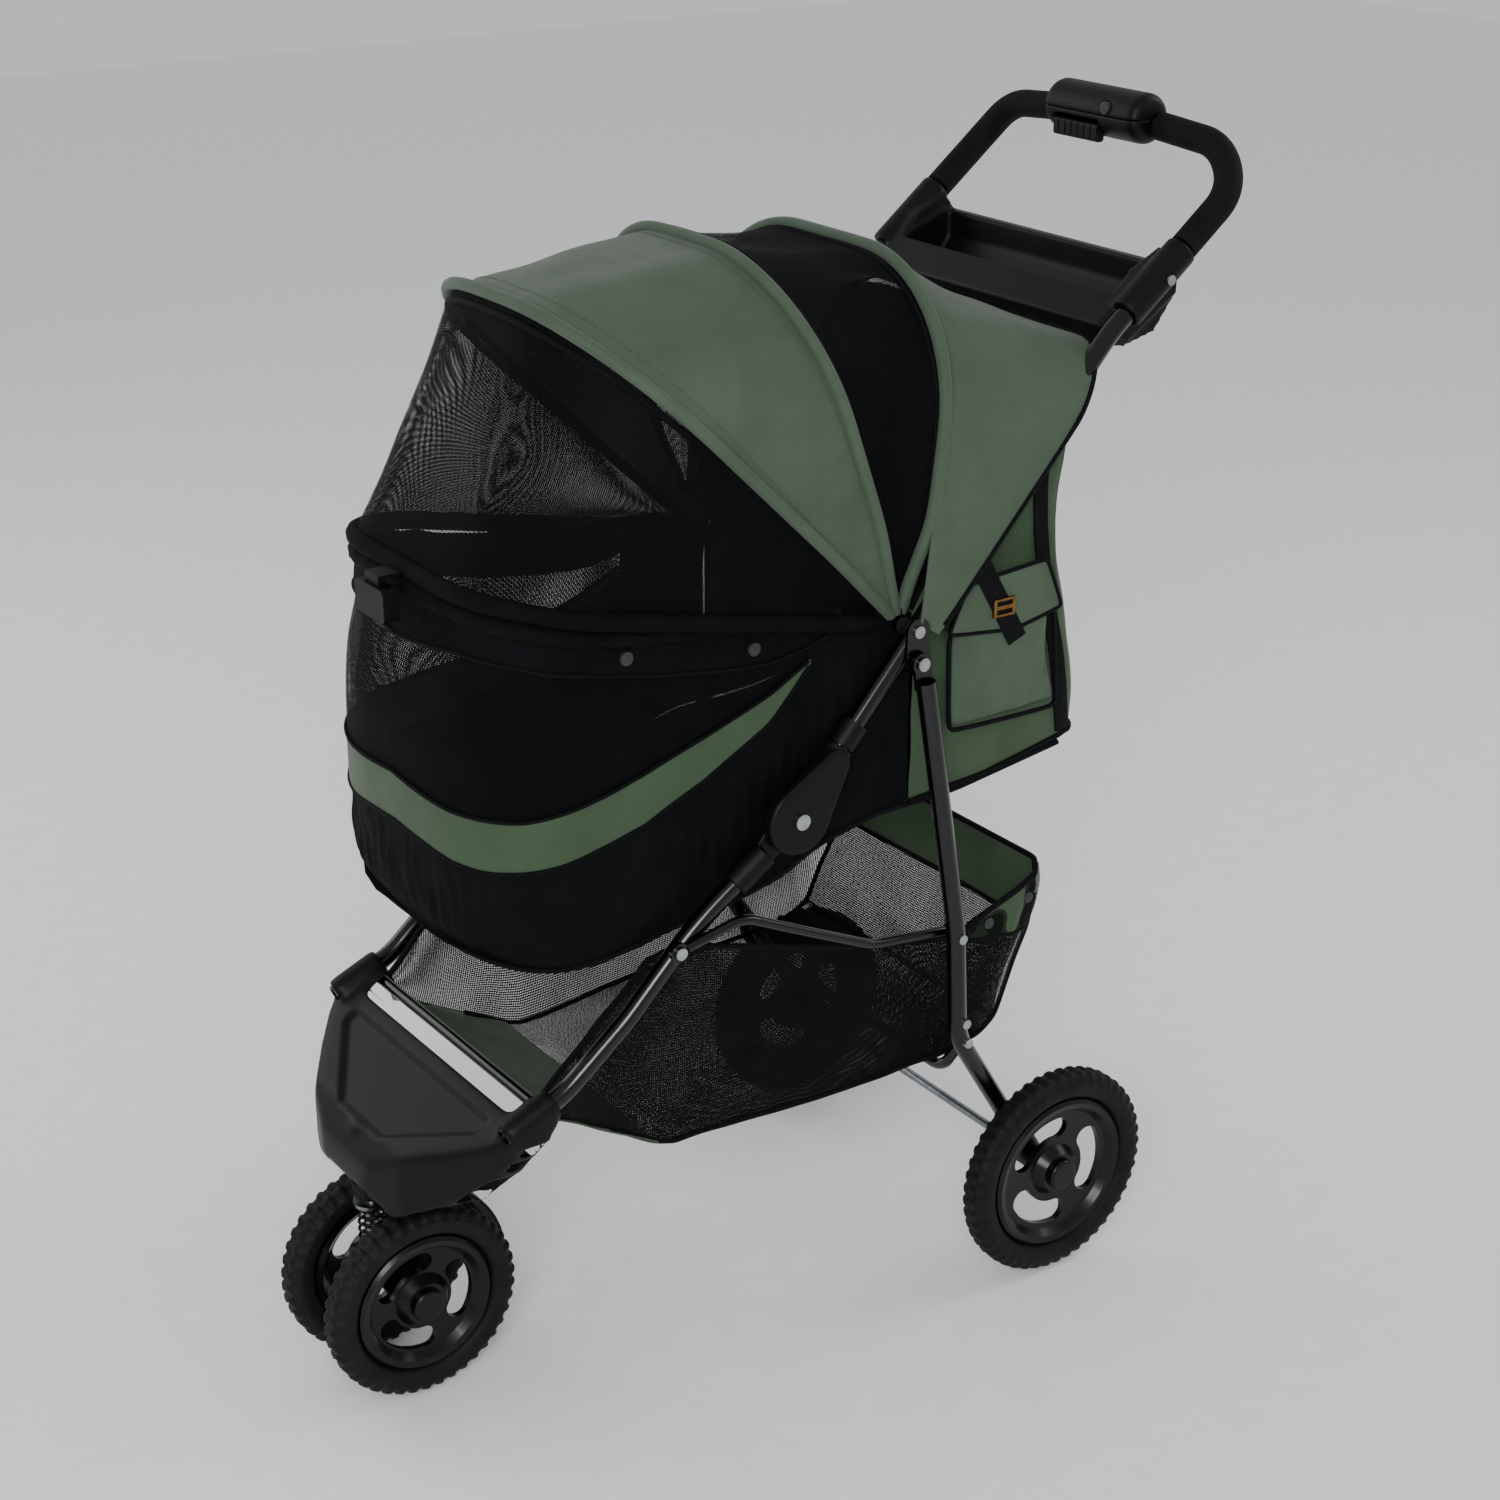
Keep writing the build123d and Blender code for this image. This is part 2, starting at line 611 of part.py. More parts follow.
# Cabin and basket: soft shells.
POD_PROFILE = [
    (-303, 405), (-216, 394), (-170, 398), (-67, 416), (-36, 426), (-2, 448), (45, 457), (127, 460),
    (262, 485), (258, 640), (262, 795), (90, 604), (60, 592), (-283, 667), (-300, 560),
]


def plan_outline(front, shoulder, half_front, half_middle, half_rear, rear):
    """Plan shape with a rounded front, as a face in the XY plane."""
    arc = ThreePointArc(
        (-half_front, shoulder), (0, front), (half_front, shoulder)
    )
    side = [(half_front, shoulder), (half_middle, -160), (half_middle, -20), (half_rear, 25), (half_rear, rear)]
    other = [(-x, y) for x, y in reversed(side)]
    return make_face([arc, *Polyline(*side, *other).edges()])


def pod_body():
    """Fabric cabin, open at the top under the canopy."""
    outer = side_plate(POD_PROFILE, -150, 150)
    outer = outer & extrude(Pos(0, 0, 380) * plan_outline(-303, -225, 146, 136, 143, 270), amount=440)
    cavity_profile = [
        (-310, 409), (-216, 398.5), (-170, 402.5), (-67, 420.5), (-36, 430.5), (-2, 452.5), (45, 461.5),
        (127, 464.5), (258, 489), (254, 640), (258, 900), (-320, 900),
    ]
    plan = plan_outline(-298, -223, 142, 132, 139, 262)
    cavity = side_plate(cavity_profile, -150, 150) & extrude(Pos(0, 0, 380) * plan, amount=560)
    return outer - cavity


def pod_rim_roll():
    """Padded roll along the front edge of the cabin opening."""
    points = [(128, -150, 646), (140, -218, 660), (100, -285, 676), (0, -297, 679)]
    right = [(-x, y, z) for x, y, z in reversed(points[:-1])]
    return bent_rod(points + right, [60.0, 50.0, 300.0, 50.0, 60.0], 7.0)


def floor_pad():
    outline = [
        (-262, 413), (-216, 403), (-170, 407), (-67, 425), (-36, 436), (-2, 458), (45, 467), (235, 491),
        (232, 502), (40, 482), (-10, 474), (-44, 450), (-70, 440), (-216, 418), (-258, 426),
    ]
    return side_plate(outline, -102, 102)


BASKET_PROFILE = [
    (-256, 274), (-166, 384), (22, 346), (121, 326), (160, 328), (238, 364), (240, 332), (228, 308),
    (192, 261), (184, 224), (126, 214), (-133, 205), (-186, 232),
]


def basket_body():
    """Mesh storage basket slung between the front crossbar and the rear legs."""
    outer = side_plate(BASKET_PROFILE, -150, 150)
    plan = make_face(
        Polyline(
            (-128, -256), (128, -256), (131, -100), (147, 0), (149, 180), (138, 241), (-138, 241),
            (-149, 180), (-147, 0), (-131, -100), close=True,
        )
    )
    outer = outer & extrude(Pos(0, 0, 180) * plan, amount=240)
    cavity_profile = [
        (-252, 275), (-250, 440), (236, 440), (236.5, 332), (225, 310), (189, 263), (181, 228),
        (126, 218), (-132, 209), (-183, 235),
    ]
    inner_plan = make_face(
        Polyline(
            (-125, -252), (125, -252), (128, -98), (144, 0), (146, 179), (135, 237), (-135, 237),
            (-146, 179), (-144, 0), (-128, -98), close=True,
        )
    )
    cavity = side_plate(cavity_profile, -150, 150) & extrude(Pos(0, 0, 180) * inner_plan, amount=300)
    return outer - cavity


POCKET_OUTLINE = [(112, 516), (110, 600), (130, 640), (206, 648), (222, 610), (230, 514)]


def pocket():
    return fillet(side_plate(POCKET_OUTLINE, 143.6, 156).edges().filter_by(Axis.X), 8)


def pocket_flap():
    outline = [(108, 604), (127, 643), (208, 650), (226, 606), (176, 596)]
    return side_plate(outline, 156.4, 158.6)


def pocket_buckle():
    """Slide buckle on the pocket's closing strap."""
    frame = Pos(160.2, 163, 617) * Box(2.4, 22, 15)
    for offset in (-3.6, 3.6):
        frame -= Pos(160.2, 163, 617 + offset) * Box(6, 16, 4)
    return frame


def front_latch():
    """Latch housing on the front of the cabin rim, with a slot for its tongue."""
    block = fillet((Pos(0, -310.8, 672) * Box(46, 13, 26)).edges().filter_by(Axis.Y), 5)
    return block - Pos(0, -311, 679) * Box(22, 8, 20)


def latch_tongue():
    """Press tab on the canopy rim that drops into the latch housing."""
    tab = Pos(0, -311, 683) * Box(21, 6.8, 20)
    return tab + Pos(0, -302.6, 691.5) * Box(21, 18, 3)


def both_sides(shape):
    """The left part and its mirror image, as two solids of one node."""
    return [shape, mirrored(shape, -1)]


def keep_pair(name, shape):
    for side in (1, -1):
        keep(f"{name}_{side_name(side)}", mirrored(shape, side))


def build_upper_frame():
    keep("handle_tube", handle_tube())
    keep("foam_grips", both_sides(foam_grip()))
    keep("handle_housing_upper", housing_shell(lower=False))
    keep("handle_housing_lower", housing_shell(lower=True))
    keep("release_trigger", release_trigger())
    keep("safety_button", safety_button())
    keep("parent_tray", parent_tray())
    keep_pair("upper_knuckle", upper_knuckle())
    keep("lock_sleeves", both_sides(lock_sleeve()))
    keep("hinge_pins", hinge_pins())
    keep("pivot_brackets", both_sides(pivot_bracket()))
    keep("upper_rivets", bracket_rivets() + tray_screws())
    keep("fan_pins", fan_pins())


def build_front_frame():
    keep_pair("front_leg", front_leg())
    keep_pair("lower_knuckle", lower_knuckle())
    keep("link_rivets", link_rivets())
    keep("nose_shell", nose_shell())
    keep("front_crossbar", front_crossbar())
    keep("caster_stem", caster_stem())
    keep("caster_spring", caster_spring())
    keep("caster_fork", caster_fork())
    keep("front_axle", front_axle())


def build_rear_frame():
    keep_pair("rear_leg", rear_leg())
    keep("rear_crossbar", rear_crossbar())
    keep("leg_rivets", leg_rivets())
    keep("axle_blocks", both_sides(axle_block()))
    keep("rear_axle", rear_axle())
    keep_pair("fold_link", fold_link())


def build_wheels():
    rear_place = Pos(REAR_WHEEL_X, REAR_AXLE_Y, REAR_AXLE_Z)
    keep_pair("rear_tyre", rear_place * wheel_tyre(REAR_WHEEL_R, REAR_RIM_R, REAR_WHEEL_W))
    keep_pair("rear_rim", rear_place * wheel_rim(REAR_RIM_R, REAR_WHEEL_W, 4.0 + RUNNING))
    keep_pair("rear_hub_cap", rear_place * wheel_cap(REAR_WHEEL_W / 2 - 3))
    front_place = Pos(FRONT_WHEEL_X, FRONT_AXLE_Y, FRONT_AXLE_Z)
    keep_pair("front_tyre", front_place * wheel_tyre(FRONT_WHEEL_R, FRONT_RIM_R, FRONT_WHEEL_W))
    rim = wheel_rim(FRONT_RIM_R, FRONT_WHEEL_W, 4.0 + RUNNING) + wheel_cap(FRONT_WHEEL_W / 2 - 3)
    keep_pair("front_rim", front_place * rim)


def build_canopy():
    keep("canopy_rear_bow", bow(REAR_BOW, 146.2, 3.5))
    keep("canopy_mid_bow", bow(MID_BOW, 143.2, 3.5))
    keep("canopy_front_bow", bow(FRONT_BOW, 140.2, 3.5))
    keep("canopy_rim_bow", bow(RIM_BOW, 137.2, 6.0))
    keep("canopy_rear_panel", canopy_panel(REAR_BOW, TRAY_EDGE, rear_turn=0))
    keep("canopy_mid_mesh", canopy_panel(MID_BOW, REAR_BOW))
    keep("canopy_front_panel", canopy_panel(FRONT_BOW, MID_BOW))
    keep("canopy_front_mesh", canopy_panel(RIM_BOW, FRONT_BOW, front_turn=4.4))


def build_soft_body():
    keep("pod_body", pod_body())
    keep("pod_rim_roll", pod_rim_roll())
    keep("floor_pad", floor_pad())
    keep("basket_body", basket_body())
    keep("pocket", [pocket(), pocket_flap()])
    keep("pocket_buckle", pocket_buckle())
    keep("front_latch", front_latch())
    keep("latch_tongue", latch_tongue())


def write_parts():
    os.makedirs("parts", exist_ok=True)
    for name, shape in PIECES.items():
        if isinstance(shape, list):
            shape = Compound(children=shape)
        export_step(shape, f"parts/{name}.step")


build_upper_frame()
build_front_frame()
build_rear_frame()
build_wheels()
build_canopy()
build_soft_body()
write_parts()
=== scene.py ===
import json
import math

import bpy
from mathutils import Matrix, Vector, noise

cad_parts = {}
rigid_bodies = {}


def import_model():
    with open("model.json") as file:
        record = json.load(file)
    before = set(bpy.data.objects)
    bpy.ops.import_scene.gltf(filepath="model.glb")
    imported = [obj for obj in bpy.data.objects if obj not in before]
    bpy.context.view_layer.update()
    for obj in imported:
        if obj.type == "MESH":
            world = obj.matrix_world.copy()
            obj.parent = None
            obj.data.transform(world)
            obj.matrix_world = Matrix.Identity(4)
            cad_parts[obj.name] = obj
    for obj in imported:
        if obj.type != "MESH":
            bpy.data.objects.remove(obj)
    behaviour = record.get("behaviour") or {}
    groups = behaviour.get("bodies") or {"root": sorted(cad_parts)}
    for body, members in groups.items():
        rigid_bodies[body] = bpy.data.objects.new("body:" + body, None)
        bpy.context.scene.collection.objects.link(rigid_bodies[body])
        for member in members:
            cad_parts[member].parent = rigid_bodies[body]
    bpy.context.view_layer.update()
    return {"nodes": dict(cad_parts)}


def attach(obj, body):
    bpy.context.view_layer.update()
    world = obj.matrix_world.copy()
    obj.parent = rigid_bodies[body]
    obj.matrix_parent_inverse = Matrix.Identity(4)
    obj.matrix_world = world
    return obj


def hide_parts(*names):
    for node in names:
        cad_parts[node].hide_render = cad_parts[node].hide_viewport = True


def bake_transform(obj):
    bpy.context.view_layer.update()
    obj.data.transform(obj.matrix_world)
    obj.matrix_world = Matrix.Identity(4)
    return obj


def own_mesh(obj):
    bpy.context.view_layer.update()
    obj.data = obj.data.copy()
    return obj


# Soft goods, mouldings, tyres and finishes of a folding three-wheel pet stroller, in metres.
# X runs across (the stroller's left side is +X), Y from the front (-Y) to the handle, Z up.

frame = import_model()
MM = 0.001
SIDES = ((1, "left"), (-1, "right"))
# an edge that turns by more than this many radians gets a bevel
SHARP = 0.5


# Modelling helpers


def deselect():
    for obj in bpy.context.selected_objects:
        obj.select_set(False)


def make_active(obj):
    deselect()
    obj.select_set(True)
    bpy.context.view_layer.objects.active = obj


def apply_modifier(obj, kind, **settings):
    make_active(obj)
    modifier = obj.modifiers.new(kind.title(), kind)
    for key, value in settings.items():
        setattr(modifier, key, value)
    bpy.ops.object.modifier_apply(modifier=modifier.name)


def shade(obj, angle=38):
    make_active(obj)
    bpy.ops.object.shade_smooth_by_angle(angle=math.radians(angle))


def face_outward(obj, merge=0.0):
    """Makes the normals agree, after joining points that lie together."""
    make_active(obj)
    bpy.ops.object.mode_set(mode="EDIT")
    bpy.ops.mesh.select_all(action="SELECT")
    if merge > 0:
        bpy.ops.mesh.remove_doubles(threshold=merge)
    bpy.ops.mesh.normals_make_consistent(inside=False)
    bpy.ops.object.mode_set(mode="OBJECT")


def finish_piece(obj, name, material, body, replaced=()):
    obj.name = name
    obj.data.materials.clear()
    obj.data.materials.append(material)
    if replaced:
        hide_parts(*replaced)
    if body:
        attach(obj, body)
    return obj


def between(table, s):
    """Value at s on a line through (s, value) points."""
    if s <= table[0][0]:
        return table[0][1]
    for (s0, v0), (s1, v1) in zip(table, table[1:]):
        if s <= s1:
            return v0 + (v1 - v0) * (s - s0) / (s1 - s0)
    return table[-1][1]


def ease(low, high, value):
    t = min(max((value - low) / (high - low), 0.0), 1.0)
    return t * t * (3 - 2 * t)


def wrinkle(point, size, height, seed=0.0):
    """Soft uneven height, in mm, of cloth at a point given in mm."""
    place = Vector((point[0] / size + seed, point[1] / size, point[2] / size - seed))
    return height * noise.noise(place)


def grid_sheet(columns, rows, place, thickness=0.0):
    """A grid whose points are set by place(u, v), in mm, thickened if a thickness in mm is given.
    Its UV map is in metres of cloth, so that netting has its real pitch."""
    deselect()
    bpy.ops.mesh.primitive_grid_add(x_subdivisions=columns, y_subdivisions=rows, size=2)
    obj = bpy.context.object
    for vertex in obj.data.vertices:
        u = (vertex.co.x + 1) / 2
        v = (vertex.co.y + 1) / 2
        vertex.co = Vector(place(u, v)) * MM
    marks = [i / 12 for i in range(13)]
    wide = sum(math.dist(place(a, 0.5), place(b, 0.5)) for a, b in zip(marks, marks[1:])) * MM
    tall = sum(math.dist(place(0.5, a), place(0.5, b)) for a, b in zip(marks, marks[1:])) * MM
    for corner in obj.data.uv_layers.active.data:
        corner.uv = (corner.uv.x * wide, corner.uv.y * tall)
    if thickness > 0:
        apply_modifier(obj, "SOLIDIFY", thickness=thickness * MM, offset=0)
    face_outward(obj)
    shade(obj)
    return obj


def line_tube(points, radius, closed=False, resolution=2):
    """A round cord through smooth control points, in mm."""
    deselect()
    bpy.ops.curve.primitive_nurbs_path_add()
    obj = bpy.context.object
    obj.data.splines.clear()
    spline = obj.data.splines.new("NURBS")
    spline.points.add(len(points) - 1)
    for control, point in zip(spline.points, points):
        control.co = (*(Vector(point) * MM), 1)
    spline.order_u = 3
    spline.use_endpoint_u = not closed
    spline.use_cyclic_u = closed
    spline.resolution_u = 4
    obj.data.bevel_depth = radius * MM
    obj.data.bevel_resolution = resolution
    obj.data.use_fill_caps = True
    obj.location = (0, 0, 0)
    make_active(obj)
    bpy.ops.object.convert(target="MESH")
    face_outward(obj)
    shade(obj, 60)
    return obj


def cut_plate(outline, x0, x1, edge, segments=3):
    """A plate standing in the side plane, cut to a (y, z) outline in mm, with rounded edges."""
    deselect()
    bpy.ops.mesh.primitive_circle_add(vertices=len(outline), radius=1, fill_type="NGON")
    obj = bpy.context.object
    for vertex, (y, z) in zip(obj.data.vertices, outline):
        vertex.co = (x0 * MM, y * MM, z * MM)
    bpy.ops.object.mode_set(mode="EDIT")
    bpy.ops.mesh.select_all(action="SELECT")
    bpy.ops.mesh.extrude_region_move(TRANSFORM_OT_translate={"value": ((x1 - x0) * MM, 0, 0)})
    bpy.ops.object.mode_set(mode="OBJECT")
    face_outward(obj)
    apply_modifier(
        obj, "BEVEL", width=edge * MM, segments=segments, limit_method="ANGLE", angle_limit=SHARP
    )
    shade(obj, 50)
    return obj


def join(pieces):
    make_active(pieces[0])
    for piece in pieces[1:]:
        piece.select_set(True)
    bpy.ops.object.join()
    return bpy.context.object


def cad_copy(nodes):
    """A free copy of CAD nodes, joined, to be worked on."""
    copies = []
    for node in nodes:
        copy = frame["nodes"][node].copy()
        copy.data = frame["nodes"][node].data.copy()
        copy.parent = None
        for key in list(copy.keys()):
            del copy[key]
        bpy.context.scene.collection.objects.link(copy)
        copies.append(copy)
    return join(copies) if len(copies) > 1 else copies[0]


def softened_copy(nodes, voxel, rounds, factor=0.5):
    """Mouldings get their rounded edges: the CAD shapes are copied, remeshed and smoothed."""
    obj = cad_copy(nodes)
    apply_modifier(obj, "REMESH", mode="VOXEL", voxel_size=voxel * MM)
    apply_modifier(obj, "SMOOTH", factor=factor, iterations=rounds)
    face_outward(obj)
    shade(obj, 50)
    return obj


# Materials


def colour(hex_code):
    """An sRGB hex colour as the linear values that shaders take."""
    parts = [int(hex_code[i:i + 2], 16) / 255 for i in (0, 2, 4)]
    linear = [p / 12.92 if p <= 0.04045 else ((p + 0.055) / 1.055) ** 2.4 for p in parts]
    return (*linear, 1.0)


def add_node(tree, kind, links=None, **values):
    """Adds a node. Values that aren't its own settings go to its input sockets, and links are
    {input: (node, output)}."""
    node = tree.nodes.new(kind)
    for key, value in values.items():
        if hasattr(node, key):
            setattr(node, key, value)
        else:
            node.inputs[key.replace("_", " ")].default_value = value
    for entry, (source, output) in (links or {}).items():
        tree.links.new(source.outputs[output], node.inputs[entry])
    return node


def new_material(name, roughness, metallic=0.0, specular=0.5, coat=0.0, sheen=0.0):
    material = bpy.data.materials.new(name)
    material.use_nodes = True
    tree = material.node_tree
    shader = tree.nodes["Principled BSDF"]
    settings = {
        "Roughness": roughness, "Metallic": metallic, "Specular IOR Level": specular,
        "Coat Weight": coat, "Coat Roughness": 0.12, "Sheen Weight": sheen, "Sheen Roughness": 0.4,
    }
    for entry, value in settings.items():
        shader.inputs[entry].default_value = value
    place = add_node(tree, "ShaderNodeTexCoord")
    return material, tree, shader, place


def mottle(tree, place, shader, dark, light, size):
    """Uneven colour between two shades, with patches of a size in metres."""
    on_piece = {"Vector": (place, "Object")}
    patches = add_node(tree, "ShaderNodeTexNoise", on_piece, Scale=1 / size, Detail=6.0, Roughness=0.6)
    ramp = add_node(tree, "ShaderNodeValToRGB", {"Fac": (patches, "Fac")})
    for stop, position, shade_of in zip(ramp.color_ramp.elements, (0.32, 0.68), (dark, light)):
        stop.position = position
        stop.color = colour(shade_of)
    tree.links.new(ramp.outputs["Color"], shader.inputs["Base Color"])


def weave_height(tree, place, pitch):
    """Threads, a pitch in metres apart, in three directions, so that any panel shows two of them.
    The wave texture repeats every 0.314 / Scale metres."""
    threads = [
        add_node(
            tree, "ShaderNodeTexWave", {"Vector": (place, "Object")},
            wave_type="BANDS", bands_direction=axis, Scale=0.314 / pitch,
        )
        for axis in ("X", "Y", "Z")
    ]
    both = add_node(
        tree, "ShaderNodeMath", {0: (threads[0], "Fac"), 1: (threads[1], "Fac")}, operation="ADD"
    )
    return add_node(
        tree, "ShaderNodeMath", {0: (both, "Value"), 1: (threads[2], "Fac")}, operation="ADD"
    )


def woven_cloth(name, dark, light, pitch, roughness=0.78, sheen=0.12, crease=0.0012, specular=0.2):
    """Plain-woven polyester with small creases, one about every 36 mm."""
    material, tree, shader, place = new_material(name, roughness, specular=specular, sheen=sheen)
    mottle(tree, place, shader, dark, light, 0.05)
    creases = add_node(
        tree, "ShaderNodeTexNoise", {"Vector": (place, "Object")},
        Scale=28.0, Detail=3.0, Roughness=0.5, Distortion=0.8,
    )
    folds = add_node(tree, "ShaderNodeBump", {"Height": (creases, "Fac")}, Distance=crease, Strength=0.9)
    heights = {"Height": (weave_height(tree, place, pitch), "Value"), "Normal": (folds, "Normal")}
    threads = add_node(tree, "ShaderNodeBump", heights, Distance=0.00012, Strength=0.7)
    tree.links.new(threads.outputs["Normal"], shader.inputs["Normal"])
    return material


def open_mesh(name, dark, light, pitch, hole, roughness=0.7):
    """Knitted netting: threads round small open holes in rows, on the cloth's UV map in metres."""
    material, tree, shader, place = new_material(name, roughness, specular=0.08)
    mottle(tree, place, shader, dark, light, 0.03)
    cells = add_node(
        tree, "ShaderNodeTexVoronoi", {"Vector": (place, "UV")},
        voronoi_dimensions="2D", Scale=1 / pitch, Randomness=0.12,
    )
    thread = add_node(
        tree, "ShaderNodeMath", {0: (cells, "Distance")}, operation="GREATER_THAN"
    )
    thread.inputs[1].default_value = hole
    tree.links.new(thread.outputs["Value"], shader.inputs["Alpha"])
    knots = add_node(
        tree, "ShaderNodeBump", {"Height": (cells, "Distance")}, Distance=0.0003, Strength=0.5
    )
    tree.links.new(knots.outputs["Normal"], shader.inputs["Normal"])
    return material


def ribbed_webbing(name, dark, light, pitch):
    """Woven tape with fine ribs."""
    material, tree, shader, place = new_material(name, 0.72, specular=0.1, sheen=0.0)
    mottle(tree, place, shader, dark, light, 0.012)
    height = {"Height": (weave_height(tree, place, pitch), "Value")}
    ribs = add_node(tree, "ShaderNodeBump", height, Distance=0.0002, Strength=0.9)
    tree.links.new(ribs.outputs["Normal"], shader.inputs["Normal"])
    return material


def moulded_plastic(name, dark, light, roughness, grain, depth, coat=0.0, specular=0.45):
    """A skin with an even grain: spark-eroded on mouldings, orange peel on enamel."""
    material, tree, shader, place = new_material(name, roughness, specular=specular, coat=coat)
    mottle(tree, place, shader, dark, light, 0.03)
    on_piece = {"Vector": (place, "Object")}
    texture = add_node(tree, "ShaderNodeTexNoise", on_piece, Scale=1 / grain, Detail=2.0, Roughness=0.5)
    skin = add_node(tree, "ShaderNodeBump", {"Height": (texture, "Fac")}, Distance=depth, Strength=0.6)
    tree.links.new(skin.outputs["Normal"], shader.inputs["Normal"])
    return material


def foam_rubber(name, dark, light, cell, depth, roughness=0.82):
    """Closed-cell foam with a skin of small pores."""
    material, tree, shader, place = new_material(name, roughness, specular=0.15)
    mottle(tree, place, shader, dark, light, 0.02)
    on_piece = {"Vector": (place, "Object")}
    pores = add_node(tree, "ShaderNodeTexVoronoi", on_piece, feature="F1", Scale=1 / cell)
    skin = add_node(tree, "ShaderNodeBump", {"Height": (pores, "Distance")}, Distance=depth, Strength=0.5)
    tree.links.new(skin.outputs["Normal"], shader.inputs["Normal"])
    return material


def bare_metal(name, dark, light, roughness, scratch):
    """Plated or drawn metal with fine lines from handling."""
    material, tree, shader, place = new_material(name, roughness, metallic=1.0)
    mottle(tree, place, shader, dark, light, 0.006)
    on_piece = {"Vector": (place, "Object")}
    lines = add_node(tree, "ShaderNodeTexNoise", on_piece, Scale=1 / scratch, Detail=5.0, Distortion=1.5)
    skin = add_node(tree, "ShaderNodeBump", {"Height": (lines, "Fac")}, Distance=0.00005, Strength=0.4)
    tree.links.new(skin.outputs["Normal"], shader.inputs["Normal"])
    return material


# Real threads of such polyester are about 0.3 mm apart and foam pores under 0.5 mm. Both are
# drawn about three times coarser, so that they show.

# plain-woven sage polyester, canopy and pocket: a dull grey-green, matt, with a soft pale edge
sage_cloth = woven_cloth("sage_polyester", "404e3f", "475646", 0.0009)
# the same weave dyed greener, band, side panels and basket: a little darker, by painted shade that stands
# for the shadow on the low front band, and flatter
sage_panel_painted_shade = woven_cloth("sage_side_polyester_painted_shade", "364833", "3c4f39", 0.0010, crease=0.0008)
# ruched black polyester: nearly no shine, so that only its deep creases catch the light
black_cloth = woven_cloth(
    "black_polyester", "060709", "0c0e11", 0.0008,
    roughness=0.8, sheen=0.0, crease=0.0025, specular=0.07,
)
# knitted window netting, holes 1.5 mm apart: dark from afar, with what lies behind showing through
window_net = open_mesh("window_netting", "060708", "0b0c0d", 0.0015, 0.36)
# heavier basket netting, holes 1.9 mm apart: denser and a little greyer
basket_net = open_mesh("basket_netting", "090b0a", "101311", 0.0019, 0.35)
# woven polyester binding tape: a thin black line with ribs round each panel
binding_tape = ribbed_webbing("black_binding", "050607", "0b0c0e", 0.0013)
# baked enamel on steel tube: black with long, nearly sharp highlights and slight waviness
tube_enamel = moulded_plastic(
    "gloss_black_enamel", "020303", "050606", 0.2, 0.02, 0.0002, coat=0.15, specular=0.3
)
# moulded ABS with a spark-eroded grain of 0.9 mm (real: 0.3 mm): broad, dull highlights
black_mould = moulded_plastic(
    "grained_black_plastic", "050606", "0a0b0b", 0.46, 0.0009, 0.00012, specular=0.16
)
# moulded nylon of small fittings: dark grey, so that they stand out from the black cloth
slate_mould = moulded_plastic("slate_plastic", "1c1e20", "25282a", 0.5, 0.0009, 0.0001)
# polished mouldings of the wheel rims: clearer highlights than the grained plastic
gloss_mould = moulded_plastic(
    "gloss_black_plastic", "040505", "080909", 0.3, 0.003, 0.00005, coat=0.1, specular=0.2
)
# moulded EVA foam of the tyres: charcoal with a satin skin that the lugs catch
tyre_foam = foam_rubber("tyre_foam", "0c0d0d", "151617", 0.0016, 0.00012, roughness=0.6)
# soft foam sleeve on the handle: black, without clear highlights
grip_foam = foam_rubber("grip_foam", "060607", "0c0c0d", 0.0013, 0.0002, roughness=0.78)
# zinc-plated steel rivets and pins: small bright grey points
zinc = bare_metal("zinc_plate", "8b8f92", "b2b5b8", 0.32, 0.002)
# drawn steel of axles and stem: a darker grey, with sharper reflections
axle_steel = bare_metal("drawn_steel", "6c7074", "8d9195", 0.28, 0.001)
# blackened spring wire: dark metal whose coils show as thin highlights
spring_wire = bare_metal("blackened_spring_steel", "1a1b1c", "2c2e30", 0.34, 0.002)
# cast zinc with an antique bronze finish, the pocket's slide buckle: the one warm spot
bronze = bare_metal("antique_bronze", "6a4a26", "8e6a3c", 0.35, 0.002)

FINISHES = {
    tube_enamel: [
        "handle_tube", "front_leg_left", "front_leg_right", "rear_leg_left", "rear_leg_right",
        "front_crossbar", "rear_crossbar", "fold_link_left", "fold_link_right", "pivot_brackets",
        "canopy_rear_bow", "canopy_mid_bow", "canopy_front_bow", "canopy_rim_bow",
    ],
    grip_foam: ["foam_grips"],
    black_mould: [
        "release_trigger", "lock_sleeves", "axle_blocks", "caster_fork", "front_latch", "latch_tongue",
    ],
    slate_mould: ["safety_button"],
    gloss_mould: [
        "rear_rim_left", "rear_rim_right", "front_rim_left", "front_rim_right",
        "rear_hub_cap_left", "rear_hub_cap_right",
    ],
    zinc: ["hinge_pins", "upper_rivets", "fan_pins", "link_rivets", "leg_rivets"],
    axle_steel: ["caster_stem", "front_axle", "rear_axle"],
    spring_wire: ["caster_spring"],
    bronze: ["pocket_buckle"],
}
for finish, names in FINISHES.items():
    for name in names:
        node = frame["nodes"][name]
        node.data.materials.clear()
        node.data.materials.append(finish)
        shade(node, 35)


# Canopy: four sheets stretched between the bows that fan out from one pin on each side

# The pins' (y, z), and half the width between the bows' arms at the pins
FAN = (71.0, 617.0)
PIN_HALF = 142.0
# Each bow is (angle above the front-to-back line, half width, reach from the pin, corner radius)
TRAY_EDGE = (48.2, 170.0, 260.0, 42.0)
TRAY_EDGE_START = (83.7, 605.7)
REAR_BOW = (83.0, 165.0, 278.0, 120.0)
MID_BOW = (109.5, 154.0, 309.0, 125.0)
FRONT_BOW = (135.5, 150.0, 385.0, 130.0)
RIM_BOW = (168.0, 147.0, 366.0, 88.0)
# The arms widen over this length
ARM_SPREAD = 106
